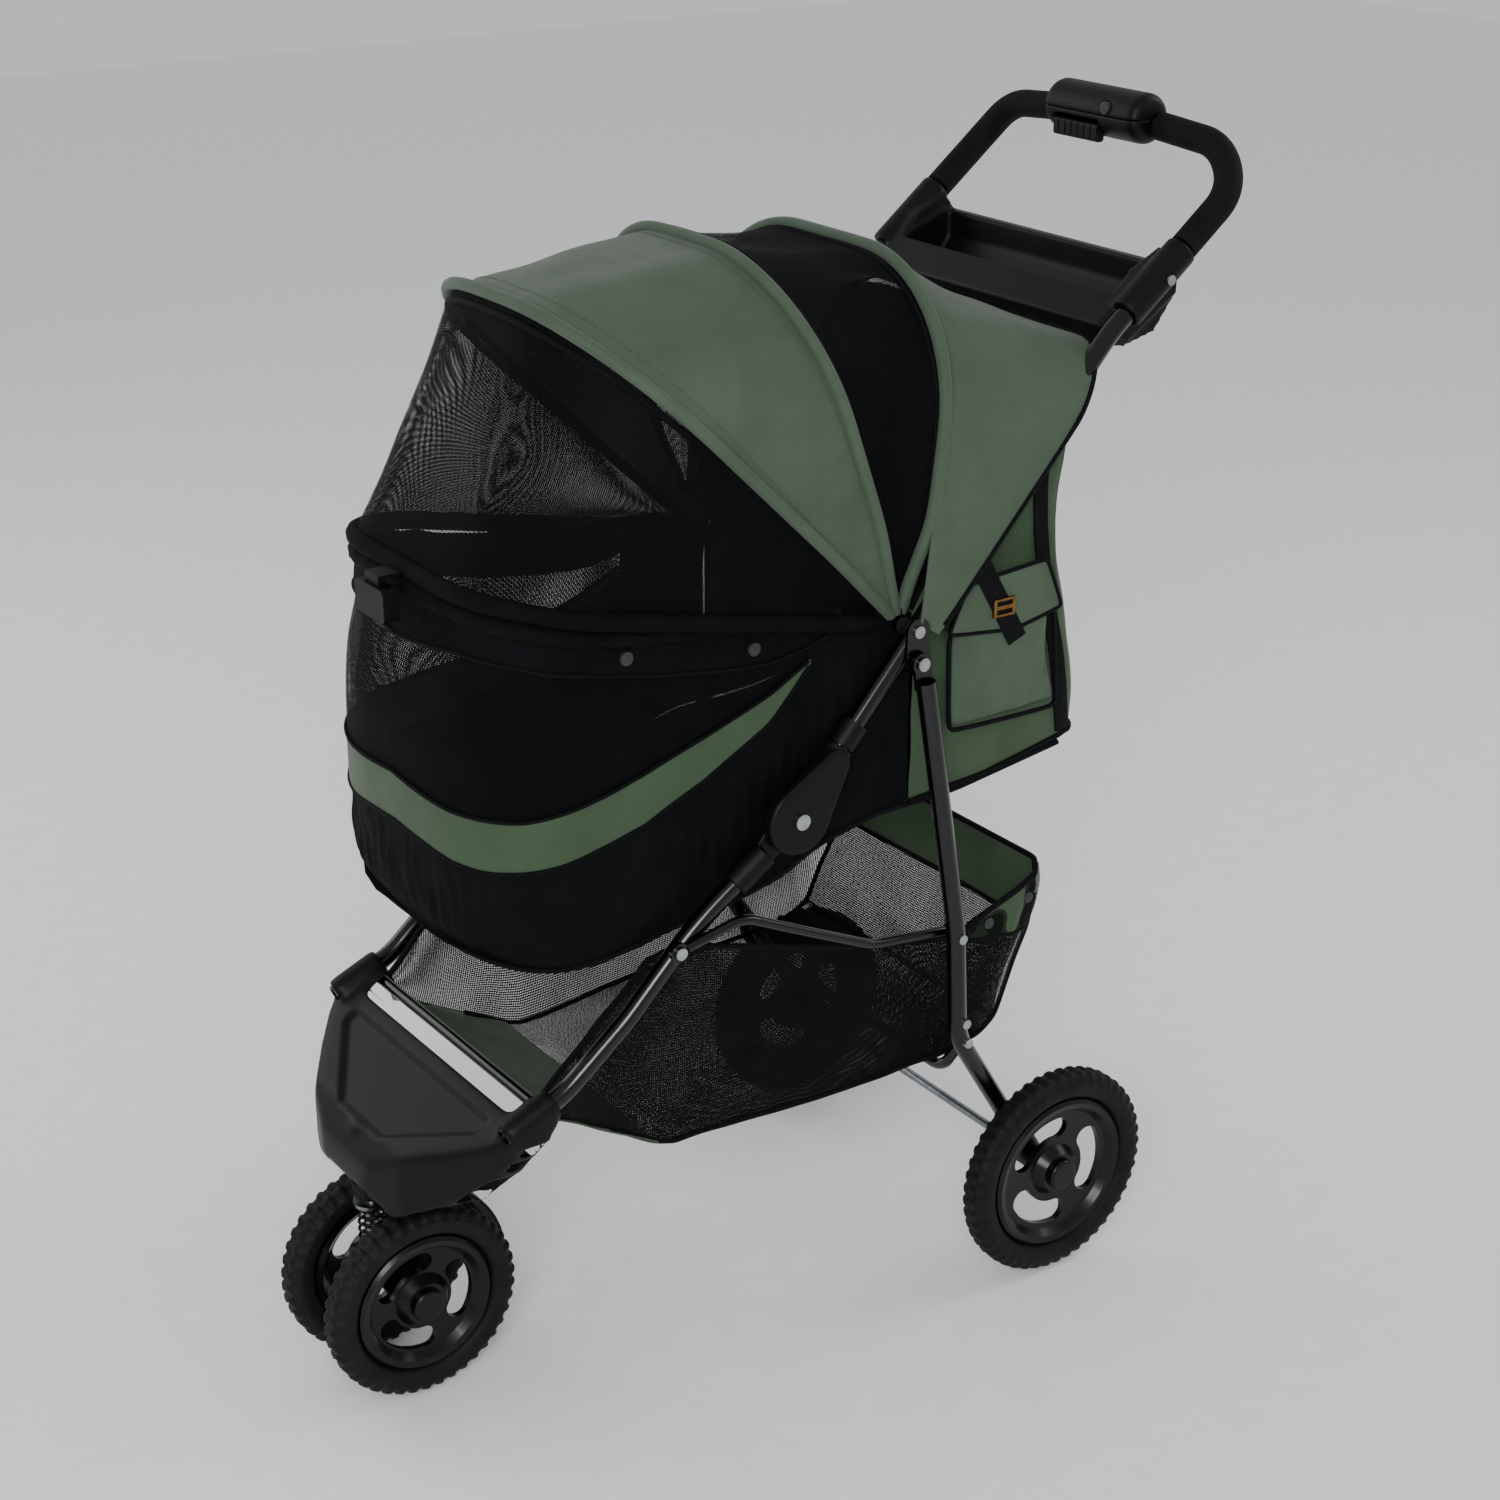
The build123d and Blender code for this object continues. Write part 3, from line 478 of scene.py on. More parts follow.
# The rear cover clears the handle tube: half width beside it, lift over the tray's clasps
CLEAR_HALF = 168.5
TRAY_LIFT = 19


def bow_local(bow, t, grow=0.0):
    """Width and reach of a bow's line at share t of its length, from the left pin to the right."""
    if t > 0.5:
        x, reach = bow_local(bow, 1 - t, grow)
        return -x, reach
    half, reach, corner = bow[1] + grow, bow[2] + grow, bow[3]
    arm, bend, flat = reach - corner, math.pi / 2 * corner, 2 * (half - corner)
    run = t * (2 * arm + 2 * bend + flat)
    if run < arm:
        return PIN_HALF + (half - PIN_HALF) * ease(0, ARM_SPREAD, run), run
    if run < arm + bend:
        turn = (run - arm) / corner
        return half - corner + corner * math.cos(turn), arm + corner * math.sin(turn)
    return half - corner - (run - arm - bend), reach


def fan_point(x, reach, angle):
    turn = math.radians(angle)
    return x, FAN[0] + reach * math.cos(turn), FAN[1] + reach * math.sin(turn)


def tray_edge_point(x, reach):
    """The rear cover's back edge runs outside the handle tube, just under it."""
    turn = math.radians(TRAY_EDGE[0])
    wide = math.copysign(TRAY_EDGE[1], x) if reach < 200 else x
    y = TRAY_EDGE_START[0] + reach * math.cos(turn)
    z = TRAY_EDGE_START[1] + reach * math.sin(turn) + TRAY_LIFT * ease(205, 258, reach)
    return wide, y, z


def canopy_sheet(front, rear, sag, t0, crease=2.0, seed=0.0, rows=26):
    """One curved sheet from a front bow to a rear bow, starting a share t0 up the bows."""

    def place(u, v):
        t = t0 + (1 - 2 * t0) * u
        xf, rf = bow_local(front, t)
        xr, rr = bow_local(rear, t)
        a = Vector(fan_point(xf, rf, front[0]))
        if rear is TRAY_EDGE:
            if rf < 175:
                spread = abs(a.x) + 4 - 4 * ease(0.3, 0.45, min(t, 1 - t))
                a.x = math.copysign(max(spread, CLEAR_HALF), a.x)
            b = Vector(tray_edge_point(xr, rr))
        else:
            b = Vector(fan_point(xr, rr, rear[0]))
        point = a.lerp(b, v)
        middle = math.sin(math.pi * v)
        inward = Vector((-point.x * 0.55, FAN[0] - point.y, FAN[1] - point.z)).normalized()
        depth = (sag + wrinkle((point.x, point.y, point.z), 55, crease, seed)) * middle
        radial = depth + wrinkle((t * 900, v * 40, 0), 38, crease * 0.5, seed) * middle
        return point + inward * radial

    return grid_sheet(96, rows, place, 1.0)


def bow_casing(name, bow, radius, t0, material, body, grow=2.5, turn=0.0):
    """The fabric tunnel that a bow runs in."""
    points = []
    for i in range(41):
        t = t0 + (1 - 2 * t0) * i / 40
        x, reach = bow_local(bow, t, grow)
        if bow is TRAY_EDGE:
            points.append(tray_edge_point(x, reach))
        else:
            points.append(fan_point(x, reach, bow[0] + turn))
    finish_piece(line_tube(points, radius, resolution=3), name, material, body)


def stitch_line(name, front, rear, v, t0, body, lift=1.2, length=4.0):
    """A row of lockstitches along a canopy panel, as short raised threads, lift mm above it."""
    deselect()
    bpy.ops.mesh.primitive_cube_add(size=1)
    stitch = bpy.context.object
    stitch.scale = (0.5 * MM, length * MM, 0.5 * MM)
    bpy.ops.object.transform_apply(location=False, rotation=False, scale=True)
    apply_modifier(stitch, "BEVEL", width=0.15 * MM, segments=1)
    copies = []
    count = 150
    for i in range(count):
        t = t0 + (1 - 2 * t0) * i / (count - 1)
        ends = []
        for step in (t, t + 0.004):
            a = Vector(fan_point(*bow_local(front, step, lift), front[0]))
            b = Vector(fan_point(*bow_local(rear, step, lift), rear[0]))
            ends.append(a.lerp(b, v))
        copy = stitch.copy()
        copy.data = stitch.data.copy()
        bpy.context.scene.collection.objects.link(copy)
        heading = (ends[1] - ends[0]).normalized()
        copy.matrix_world = heading.to_track_quat("Y", "Z").to_matrix().to_4x4()
        copy.location = ends[0] * MM
        copies.append(copy)
    bpy.data.objects.remove(stitch)
    row = join(copies)
    bpy.ops.object.transform_apply(location=True, rotation=True, scale=True)
    finish_piece(row, name, sage_cloth, body)


def bend_between(piece):
    """Bakes the piece's placement into its mesh, so that the object stands at the origin."""
    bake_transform(piece)


rear_top = canopy_sheet(REAR_BOW, TRAY_EDGE, 3.0, 0.01, crease=3.0, seed=3.1, rows=34)
finish_piece(
    rear_top, "canopy_rear_cover", sage_cloth, "upper_frame", ["canopy_rear_panel"]
)
mid_net = canopy_sheet(MID_BOW, REAR_BOW, 5.0, 0.03, crease=1.5, seed=5.7)
finish_piece(mid_net, "canopy_mid_netting", window_net, None, ["canopy_mid_mesh"])
front_top = canopy_sheet(FRONT_BOW, MID_BOW, -1.0, 0.01, crease=3.0, seed=8.2)
finish_piece(front_top, "canopy_front_cover", sage_cloth, None, ["canopy_front_panel"])
front_net = canopy_sheet(RIM_BOW, FRONT_BOW, 4.0, 0.03, crease=2.0, seed=1.4, rows=34)
finish_piece(front_net, "canopy_front_netting", window_net, None, ["canopy_front_mesh"])

bow_casing("rear_bow_casing", REAR_BOW, 5.2, 0.012, sage_cloth, "upper_frame")
bow_casing("mid_bow_casing", MID_BOW, 4.8, 0.012, sage_cloth, "canopy_mid")
bow_casing("front_bow_casing", FRONT_BOW, 5.0, 0.012, sage_cloth, "canopy_front")
bow_casing("rim_bow_casing", RIM_BOW, 7.4, 0.03, black_cloth, "canopy_rim", 0.5)
bow_casing("tray_edge_binding", TRAY_EDGE, 2.2, 0.02, binding_tape, "upper_frame", 1.0)
bow_casing("front_bow_binding", FRONT_BOW, 3.0, 0.03, binding_tape, "canopy_front", -3.0, 1.6)
bow_casing("rear_bow_binding", REAR_BOW, 2.4, 0.03, binding_tape, "upper_frame", -1.0, 1.6)
bow_casing("mid_bow_binding", MID_BOW, 2.4, 0.03, binding_tape, "canopy_mid", -1.0, -1.6)
stitch_line("front_panel_stitches", FRONT_BOW, MID_BOW, 0.13, 0.06, "canopy_front")
stitch_line("mid_panel_stitches", FRONT_BOW, MID_BOW, 0.93, 0.06, "canopy_mid")

bend_between(mid_net)
bend_between(front_top)
bend_between(front_net)


# Cabin: cloth panels sewn round one plan outline, s mm from the front centre


# The cabin's rounded front: a superellipse of this power from y = FRONT_START, FRONT_REACH mm long
FRONT_START = -225
FRONT_REACH = 76
FRONT_POWER = 2.6


def plan_table():
    """(s, x, y) along half the outline, from the front centre to the back centre."""
    points = []
    for step in range(0, 46):
        turn = math.radians(step * 2)
        x = 146 * abs(math.sin(turn)) ** (2 / FRONT_POWER)
        y = FRONT_START - FRONT_REACH * abs(math.cos(turn)) ** (2 / FRONT_POWER)
        points.append((x, y))
    points += [(145, -205), (141, -180), (138, -150), (136, -110), (136, -20), (138, 0)]
    points += [(141, 15), (143, 35), (143, 237), (140, 250), (130, 259), (117, 262), (0, 262)]
    table = [(0.0, *points[0])]
    for a, b in zip(points, points[1:]):
        table.append((table[-1][0] + math.dist(a, b), *b))
    return table


CABIN_PLAN = plan_table()
PLAN_X = [(s, x) for s, x, y in CABIN_PLAN]
PLAN_Y = [(s, y) for s, x, y in CABIN_PLAN]


def on_plan(s, outward=0.0):
    """Point of the cabin's plan outline, and its outward direction, at s (right side below 0)."""
    side = 1 if s >= 0 else -1
    s = abs(s)
    x, y = between(PLAN_X, s), between(PLAN_Y, s)
    ahead = Vector([between(line, s + 6) - between(line, s - 6) for line in (PLAN_X, PLAN_Y)])
    normal = Vector((ahead.y, -ahead.x))
    if normal.length < 1e-6:
        normal = Vector((0, -1)) if s < 100 else Vector((0, 1))
    normal.normalize()
    return side * (x + normal.x * outward), y + normal.y * outward


def station(y):
    """Distance along the plan where the side wall reaches y."""
    for (s0, x0, y0), (s1, x1, y1) in zip(CABIN_PLAN, CABIN_PLAN[1:]):
        if y0 <= y <= y1 and y1 > y0:
            return s0 + (s1 - s0) * (y - y0) / (y1 - y0)
    return CABIN_PLAN[-1][0]


# Heights, in mm, of the cabin's edges and seams at s
BAND_TOP = [
    (0, 533), (40, 529), (80, 526), (110, 527), (140, 529), (170, 535),
    (200, 540), (240, 547), (300, 563), (360, 583), (400, 603),
]
BAND_LOW = [
    (0, 492), (40, 489), (80, 484), (110, 484), (140, 488), (170, 493),
    (200, 499), (240, 505), (300, 528), (360, 560), (400, 600),
]
FLAP_LOW = [
    (0, 640), (80, 648), (140, 646), (200, 634), (260, 620),
    (320, 611), (360, 608), (400, 614), (425, 625),
]
ROLL_MID = [(0, 679), (80, 677), (140, 672), (200, 662), (240, 652), (300, 645), (360, 641), (425, 636)]
CABIN_LOW = [
    (0, 407), (140, 402), (200, 398), (240, 398), (330, 413),
    (370, 424), (410, 446), (455, 460), (540, 462), (700, 486),
]
CHEEK_TOP = [(398, 640), (430, 645), (470, 634), (496, 618)]


def lean(s, z):
    """How far the wall stands out at a height: full in the belly, drawn in at the rim."""
    front = 1 - ease(110, 240, abs(s))
    belly = 7 * math.sin(math.pi * min(max((z - 400) / 270, 0), 1))
    return belly * 0.6 - ease(560, 680, z) * (8 + 6 * front) - (1 - ease(398, 430, z)) * 9


def wall_patch(
    s0, s1, low, high, columns, rows, crease, ruck=0.0, outward=0.0, seed=0.0, thickness=1.0
):
    """One cloth panel of the cabin wall between two edge lines."""

    def place(u, v):
        s = s0 + (s1 - s0) * u
        bottom, top = low(abs(s)), high(abs(s))
        z = bottom + (top - bottom) * v
        fade = math.sin(math.pi * min(max(v, 0.02), 0.98)) ** 0.5
        folds = wrinkle((s, z * 0.25, 0), 9, ruck, seed) * fade
        push = outward + lean(s, z) + folds + wrinkle((s, z, 10), 45, crease, seed) * fade
        x, y = on_plan(s, push)
        return x, y, z

    return grid_sheet(columns, rows, place, thickness)


def edge_line(table, add=0.0):
    return lambda s: between(table, s) + add


def tub_top(s):
    if s <= 400:
        return between(BAND_LOW, s)
    return between([(400, 603), (440, 632), (470, 622), (500, 612)], s)


# how far round from the front centre the band and its window, and the rim, run
BAND_END = 398
RIM_END = 425

tub = wall_patch(-490, 490, edge_line(CABIN_LOW), tub_top, 300, 30, 3.0, ruck=2.2, seed=2.0)
finish_piece(tub, "cabin_tub", black_cloth, "upper_frame", ["pod_body"])
band = wall_patch(
    -400, 400, edge_line(BAND_LOW), edge_line(BAND_TOP), 200, 12, 1.6, outward=1.2, seed=4.0
)
finish_piece(band, "cabin_band", sage_panel_painted_shade, "upper_frame")
window = wall_patch(
    -BAND_END, BAND_END, edge_line(BAND_TOP, -3), edge_line(FLAP_LOW, 14), 160, 16, 2.0,
    seed=6.0, thickness=0.8,
)
finish_piece(window, "cabin_window", window_net, "upper_frame")
flap = wall_patch(
    -RIM_END, RIM_END, edge_line(FLAP_LOW), edge_line(ROLL_MID, 2), 220, 12, 2.4,
    ruck=1.0, outward=2.4, seed=7.0,
)
finish_piece(flap, "cabin_rim_flap", black_cloth, "upper_frame")
# the small gussets behind the band, up to the pins
cheeks = [
    wall_patch(side * BAND_END, side * 496, tub_top, edge_line(CHEEK_TOP), 30, 8, 1.5, seed=9.0)
    for side, word in SIDES
]
for (side, word), piece in zip(SIDES, cheeks):
    finish_piece(piece, f"cabin_cheek_{word}", black_cloth, "upper_frame")


def binding_on_wall(name, table, s0, s1, radius, outward):
    """Binding tape rolled over the edge of a wall panel."""
    steps = 90
    points = []
    for i in range(steps + 1):
        s = s0 + (s1 - s0) * i / steps
        z = between(table, abs(s))
        points.append((*on_plan(s, outward + lean(s, z)), z))
    finish_piece(line_tube(points, radius), name, binding_tape, "upper_frame")


binding_on_wall("band_top_binding", BAND_TOP, -BAND_END, BAND_END, 1.5, 1.6)
binding_on_wall("band_low_binding", BAND_LOW, -BAND_END, BAND_END, 1.6, 1.8)
binding_on_wall("flap_binding", FLAP_LOW, -RIM_END, RIM_END, 1.7, 3.2)
binding_on_wall("cabin_floor_binding", CABIN_LOW, -650, 650, 2.6, 0.5)


def padded_roll():
    """Foam-filled rim of the cabin opening, puckered between its stitches."""
    points = []
    for i in range(61):
        s = -RIM_END + 2 * RIM_END * i / 60
        z = between(ROLL_MID, abs(s))
        x, y = on_plan(s, lean(s, z) + 1.5)
        points.append((x, y, z + 1))
    obj = line_tube(points, 8.0, resolution=4)
    for vertex in obj.data.vertices:
        p = vertex.co * 1000
        vertex.co += vertex.normal * (wrinkle((p.x, p.y, p.z), 14, 1.6, 3.0) * MM)
    return obj


roll = padded_roll()
finish_piece(roll, "cabin_rim_roll", black_cloth, "upper_frame", ["pod_rim_roll"])


# Cabin floor and its pad

FLOOR_LINE = [
    (-292, 409), (-216, 400), (-170, 404), (-67, 421), (-36, 431),
    (-2, 452), (45, 461), (127, 464), (262, 488),
]


def floor_half_width(y):
    if y < FRONT_START:
        share = min((FRONT_START - y) / FRONT_REACH, 1)
        return 141 * (1 - share ** FRONT_POWER) ** (1 / FRONT_POWER)
    return between([(-225, 141), (-160, 133), (-20, 132), (35, 138), (262, 138)], y)


def floor_place(u, v):
    y = -298 + 556 * v
    x = (2 * u - 1) * (floor_half_width(y) - 1)
    return x, y, between(FLOOR_LINE, y) - 1.5 + wrinkle((x, y, 0), 60, 2.0, 5.0)


cabin_floor = grid_sheet(24, 70, floor_place, 1.2)
finish_piece(cabin_floor, "cabin_floor", black_cloth, "upper_frame")


def swell(obj, voxel, pressure, cap, frames=20):
    """Blows a pad up as cloth, from 1 to the last frame, with no point moving further than cap mm."""
    apply_modifier(obj, "REMESH", mode="VOXEL", voxel_size=voxel * MM)
    rest = [vertex.co.copy() for vertex in obj.data.vertices]
    make_active(obj)
    cloth = obj.modifiers.new("Cloth", "CLOTH")
    cloth.settings.use_pressure = True
    cloth.settings.uniform_pressure_force = pressure
    cloth.settings.effector_weights.gravity = 0
    for step in range(1, frames + 1):
        bpy.context.scene.frame_set(step)
    bpy.ops.object.modifier_apply(modifier="Cloth")
    for vertex, start in zip(obj.data.vertices, rest):
        move = vertex.co - start
        if move.length > cap * MM:
            vertex.co = start + move.normalized() * cap * MM
    bpy.context.scene.frame_set(1)


PAD_INNER = (-216, -170, -120, -67, -36, -2, 45, 127)
pad = cut_plate(
    [(y, between(FLOOR_LINE, y) + 3) for y in (-255, *PAD_INNER, 235)]
    + [(y, between(FLOOR_LINE, y) + 14) for y in (230, *reversed(PAD_INNER), -250)],
    -110, 110, 4,
)
swell(pad, 6, 4, 5)
apply_modifier(pad, "SUBSURF", levels=1)
for vertex in pad.data.vertices:
    p = vertex.co * 1000
    # quilting channels 3 mm deep, 90 mm apart
    channel = math.exp(-((abs(p.y + 60) % 90 - 45) / 4) ** 2)
    if vertex.normal.z > 0.3:
        vertex.co.z -= 3.0 * channel * MM
shade(pad, 60)
finish_piece(pad, "cabin_floor_pad", black_cloth, "upper_frame", ["floor_pad"])


# Rear of the cabin: green side and back panels in one wrap

WRAP_START = station(82)
WRAP_END = CABIN_PLAN[-1][0] - 0.1
CORNER = station(245)
WRAP_TOP = [
    (WRAP_START, 626), (station(150), 716), (station(200), 778),
    (station(232), 806), (CORNER, 812), (WRAP_END, 806),
]
WRAP_LOW = [(WRAP_START, 463), (station(160), 469), (CORNER, 486), (WRAP_END, 488)]


def drawn_in(z):
    """How far, in mm, the back panel is drawn in at a height."""
    return 14 * math.exp(-(((z - 640) / 70) ** 2))


rear_wrap = [
    wall_patch(
        side * WRAP_START, side * WRAP_END, edge_line(WRAP_LOW), edge_line(WRAP_TOP), 90, 60, 3.5,
        seed=11.0,
    )
    for side, word in SIDES
]
for (side, word), piece in zip(SIDES, rear_wrap):
    for vertex in piece.data.vertices:
        p = vertex.co * 1000
        if p.y > 225:
            vertex.co.y -= drawn_in(p.z) * MM * ease(225, 255, p.y)
    finish_piece(piece, f"cabin_rear_{word}", sage_panel_painted_shade, "upper_frame")
seam_line = []
for step in range(13):
    z = 488 + (806 - 488) * step / 12
    seam_line.append((0, 262.8 + lean(WRAP_END, z) - drawn_in(z), z))
finish_piece(line_tube(seam_line, 1.8), "rear_centre_seam", binding_tape, "upper_frame")
for side, word in SIDES:
    ends = (side * WRAP_START, side * WRAP_END)
    binding_on_wall(f"rear_low_binding_{word}", WRAP_LOW, *ends, 2.4, 0.8)
    binding_on_wall(f"rear_top_binding_{word}", WRAP_TOP, *ends, 2.6, 1.0)
    front_edge = [(side * 143, 80, z) for z in (464, 500, 540, 580, 624)]
    finish_piece(line_tube(front_edge, 2.2), f"rear_front_binding_{word}", binding_tape, "upper_frame")


# Webbing, press studs and side pocket


def wall_tape(name, line, half, outward, side):
    """A flat tape on the cabin wall, down a line of (y, z) points."""

    def place(u, v):
        count = len(line) - 1
        at = min(v * count, count - 1e-6)
        (y0, z0), (y1, z1) = line[int(at)], line[int(at) + 1]
        y, z = y0 + (y1 - y0) * (at % 1), z0 + (z1 - z0) * (at % 1)
        s = station(y + (2 * u - 1) * half)
        x, y = on_plan(side * s, outward + lean(s, z))
        return x, y, z

    tape = grid_sheet(4, 40, place, 1.6)
    return finish_piece(tape, name, binding_tape, "upper_frame")


WEBBING_LINE = [(224, 790), (219, 745), (217, 701), (221, 612), (236, 530), (241, 489)]


def press_stud(name, place, radius, body, side, height=4.0):
    """A domed press stud with a rolled rim, its axis along X."""
    deselect()
    bpy.ops.mesh.primitive_cylinder_add(
        vertices=32, radius=radius * MM, depth=height * MM, rotation=(0, math.pi / 2, 0)
    )
    obj = bpy.context.object
    bpy.ops.object.transform_apply(location=False, rotation=True, scale=False)
    top = [face for face in obj.data.polygons if abs(face.normal.x) > 0.9]
    for face in obj.data.polygons:
        face.select = face in top
    bpy.ops.object.mode_set(mode="EDIT")
    bpy.ops.mesh.select_mode(type="FACE")
    bpy.ops.mesh.inset(thickness=radius * 0.3 * MM, depth=-0.5 * MM)
    bpy.ops.mesh.inset(thickness=radius * 0.2 * MM, depth=0.5 * MM)
    bpy.ops.object.mode_set(mode="OBJECT")
    apply_modifier(obj, "BEVEL", width=0.5 * MM, segments=2, limit_method="ANGLE", angle_limit=SHARP)
    for vertex in obj.data.vertices:
        vertex.co += Vector((side * place[0], place[1], place[2])) * MM
    obj.location = (0, 0, 0)
    shade(obj, 40)
    finish_piece(obj, name, slate_mould, body)


for side, word in SIDES:
    wall_tape(f"rear_webbing_{word}", WEBBING_LINE, 7, 1.6, side)
    for number, y in enumerate((-182, -66, 2)):
        s = station(y)
        z = between(FLAP_LOW, s) + 14
        x, y_wall = on_plan(s, 5.2 + lean(s, z))
        press_stud(f"flap_stud_{word}_{number}", (x, y_wall, z), 5.5, "upper_frame", side)

# The side pocket, of cloth blown up by a little pressure, and its lid
POCKET_LINE = [(114, 518), (112, 600), (131, 638), (204, 646), (220, 610), (228, 516)]


def rounded_outline(points, radius, steps=5):
    """The same outline with each corner replaced by a short curve."""
    curve = []
    for i, point in enumerate(points):
        here = Vector(point)
        before = (Vector(points[i - 1]) - here).normalized() * radius
        after = (Vector(points[(i + 1) % len(points)]) - here).normalized() * radius
        for k in range(steps):
            t = k / (steps - 1)
            curve.append(tuple(here + before * (1 - t) ** 2 + after * t ** 2))
    return curve


bag = cut_plate(rounded_outline(POCKET_LINE, 9), 144.5, 153.5, 3.0)
swell(bag, 4, 5, 5)
apply_modifier(bag, "SUBSURF", levels=1)
for vertex in bag.data.vertices:
    p = vertex.co * 1000
    if p.x > 150:
        vertex.co.x += (wrinkle((p.x, p.y, p.z), 22, 2.4, 1.0) - 1.0) * MM
shade(bag, 60)
finish_piece(bag, "side_pocket", sage_cloth, "upper_frame", ["pocket"])

FLAP_LINE = [(108, 603), (127, 642), (208, 649), (226, 605), (176, 595)]
lid = cut_plate(rounded_outline(FLAP_LINE, 5), 157.0, 158.8, 0.7)
finish_piece(lid, "pocket_lid", sage_cloth, "upper_frame")
lid_edge = [(158.4, y, z) for y, z in rounded_outline(FLAP_LINE, 5, 3)]
finish_piece(line_tube(lid_edge, 1.8, closed=True), "pocket_lid_binding", binding_tape, "upper_frame")
bag_edge = [(154.6, y, z) for y, z in rounded_outline(POCKET_LINE, 9, 3)]
finish_piece(line_tube(bag_edge, 2.0, closed=True), "pocket_binding", binding_tape, "upper_frame")


def strap_place(u, v):
    y = 139 + 40 * v + (2 * u - 1) * 8.5
    z = 656 - 70 * v + (2 * u - 1) * 3.5
    return 159.2 + 0.9 * math.exp(-(((v - 0.55) / 0.12) ** 2)), y, z


strap = grid_sheet(4, 36, strap_place, 1.2)
finish_piece(strap, "pocket_strap", binding_tape, "upper_frame")


# Basket: netting tub with green bands, hung from the front crossbar and the rear legs

# Heights of the side netting's edges, and the basket's half width, at y
BASKET_FRONT = -258
BASKET_TOP = [
    (BASKET_FRONT, 288), (-228, 318), (-190, 352), (-161, 382), (-130, 386),
    (-79, 373), (22, 348), (121, 328), (160, 334), (238, 366),
]
BASKET_LOW = [
    (BASKET_FRONT, 268), (-222, 252), (-186, 233), (-150, 212), (-133, 207), (126, 214),
    (170, 220), (188, 232), (205, 272), (225, 308), (238, 330),
]
BASKET_HALF = [
    (BASKET_FRONT, 126), (-161, 129), (-100, 131), (0, 145), (120, 148), (180, 148), (225, 141),
    (238, 132),
]


def basket_wall_point(y, v, side, outward=0.0):
    low, high = between(BASKET_LOW, y), between(BASKET_TOP, y)
    z = low + (high - low) * v
    bulge = 3.0 * math.sin(math.pi * v) - 8 * (1 - v) ** 2
    x = between(BASKET_HALF, y) + bulge + outward + wrinkle((y, z, 3), 40, 2.5, 2.0)
    return side * x, y, z


for side, word in SIDES:
    net = grid_sheet(
        110, 22, lambda u, v: basket_wall_point(BASKET_FRONT + 492 * u, v, side), 0.8
    )
    hides = ["basket_body"] if side > 0 else []
    finish_piece(net, f"basket_net_{word}", basket_net, "front_frame", hides)
    top_line = [
        basket_wall_point(BASKET_FRONT + 416 * i / 60, 1.0, side, 0.5) for i in range(61)
    ]
    finish_piece(line_tube(top_line, 2.6), f"basket_top_binding_{word}", binding_tape, "front_frame")
    low_line = [basket_wall_point(-190 + 428 * i / 60, 0.0, side, 0.5) for i in range(61)]
    finish_piece(line_tube(low_line, 2.2), f"basket_low_binding_{word}", binding_tape, "front_frame")


def basket_floor_place(u, v):
    y = -150 + 338 * v
    half = between(BASKET_HALF, y) - 8
    x = (2 * u - 1) * half
    sag = 4 * (1 - (2 * u - 1) ** 2) * math.sin(math.pi * v)
    return x, y, between(BASKET_LOW, y) + 1 - sag * 0.5 + wrinkle((x, y, 0), 50, 2.0, 4.0)


basket_floor = grid_sheet(40, 50, basket_floor_place, 1.0)
finish_piece(basket_floor, "basket_floor_net", basket_net, "front_frame")


def basket_front_place(u, v):
    y = between([(0.0, -262), (0.12, -257), (0.3, -240), (0.6, -205), (1.0, -150)], v)
    z = between([(0.0, 291), (0.12, 286), (0.3, 264), (0.6, 244), (1.0, 213)], v)
    half = between(BASKET_HALF, y) - 3
    x = (2 * u - 1) * half
    middle = math.sin(math.pi * v)
    sag = 5 * middle * (1 - (2 * u - 1) ** 4)
    return x, y - 3 * middle, z - sag + wrinkle((x, y, z), 38, 3.0, 6.0) * middle


basket_front = grid_sheet(60, 26, basket_front_place, 1.0)
finish_piece(basket_front, "basket_front_band", sage_panel_painted_shade, "front_frame")


# Half the length of the basket's rear band
REAR_HALF = 238


def basket_rear_path(s):
    """Round the basket's rear, from its left side at y 150 to its right side."""
    side = 1 if s < 0 else -1
    s = -abs(s)
    x = between([(-REAR_HALF, 148), (-170, 147), (-150, 141), (-128, 126), (0, 0)], s)
    y = between([(-REAR_HALF, 150), (-170, 205), (-150, 228), (-128, 239), (0, 242)], s)
    return side * x, y


def basket_rear_place(u, v):
    s = -REAR_HALF + 2 * REAR_HALF * u
    x, y = basket_rear_path(s)
    top = between([(0, 362), (128, 364), (170, 352), (REAR_HALF, 333)], abs(s))
    low = between([(0, 309), (128, 309), (170, 311), (REAR_HALF, 318)], abs(s))
    z = low + (top - low) * v
    draw = 1 - 0.045 * (1 - v) * ease(REAR_HALF, 130, abs(s))
    bulge = wrinkle((s, z, 0), 36, 4.0, 8.0) * math.sin(math.pi * v)
    return x * (1 + bulge / 140), y * draw + bulge * 0.5 - 2, z


basket_rear = grid_sheet(110, 16, basket_rear_place, 1.4)
finish_piece(basket_rear, "basket_rear_band", sage_panel_painted_shade, "front_frame")


def basket_tail_place(u, v):
    y = between([(0, 186), (0.35, 196), (1.0, 228)], v)
    z = between([(0, 228), (0.35, 262), (1.0, 312)], v)
    half = between([(0, 138), (1, 130)], v)
    x = (2 * u - 1) * half
    return x, y + wrinkle((x, z, 0), 40, 3.0, 3.0), z


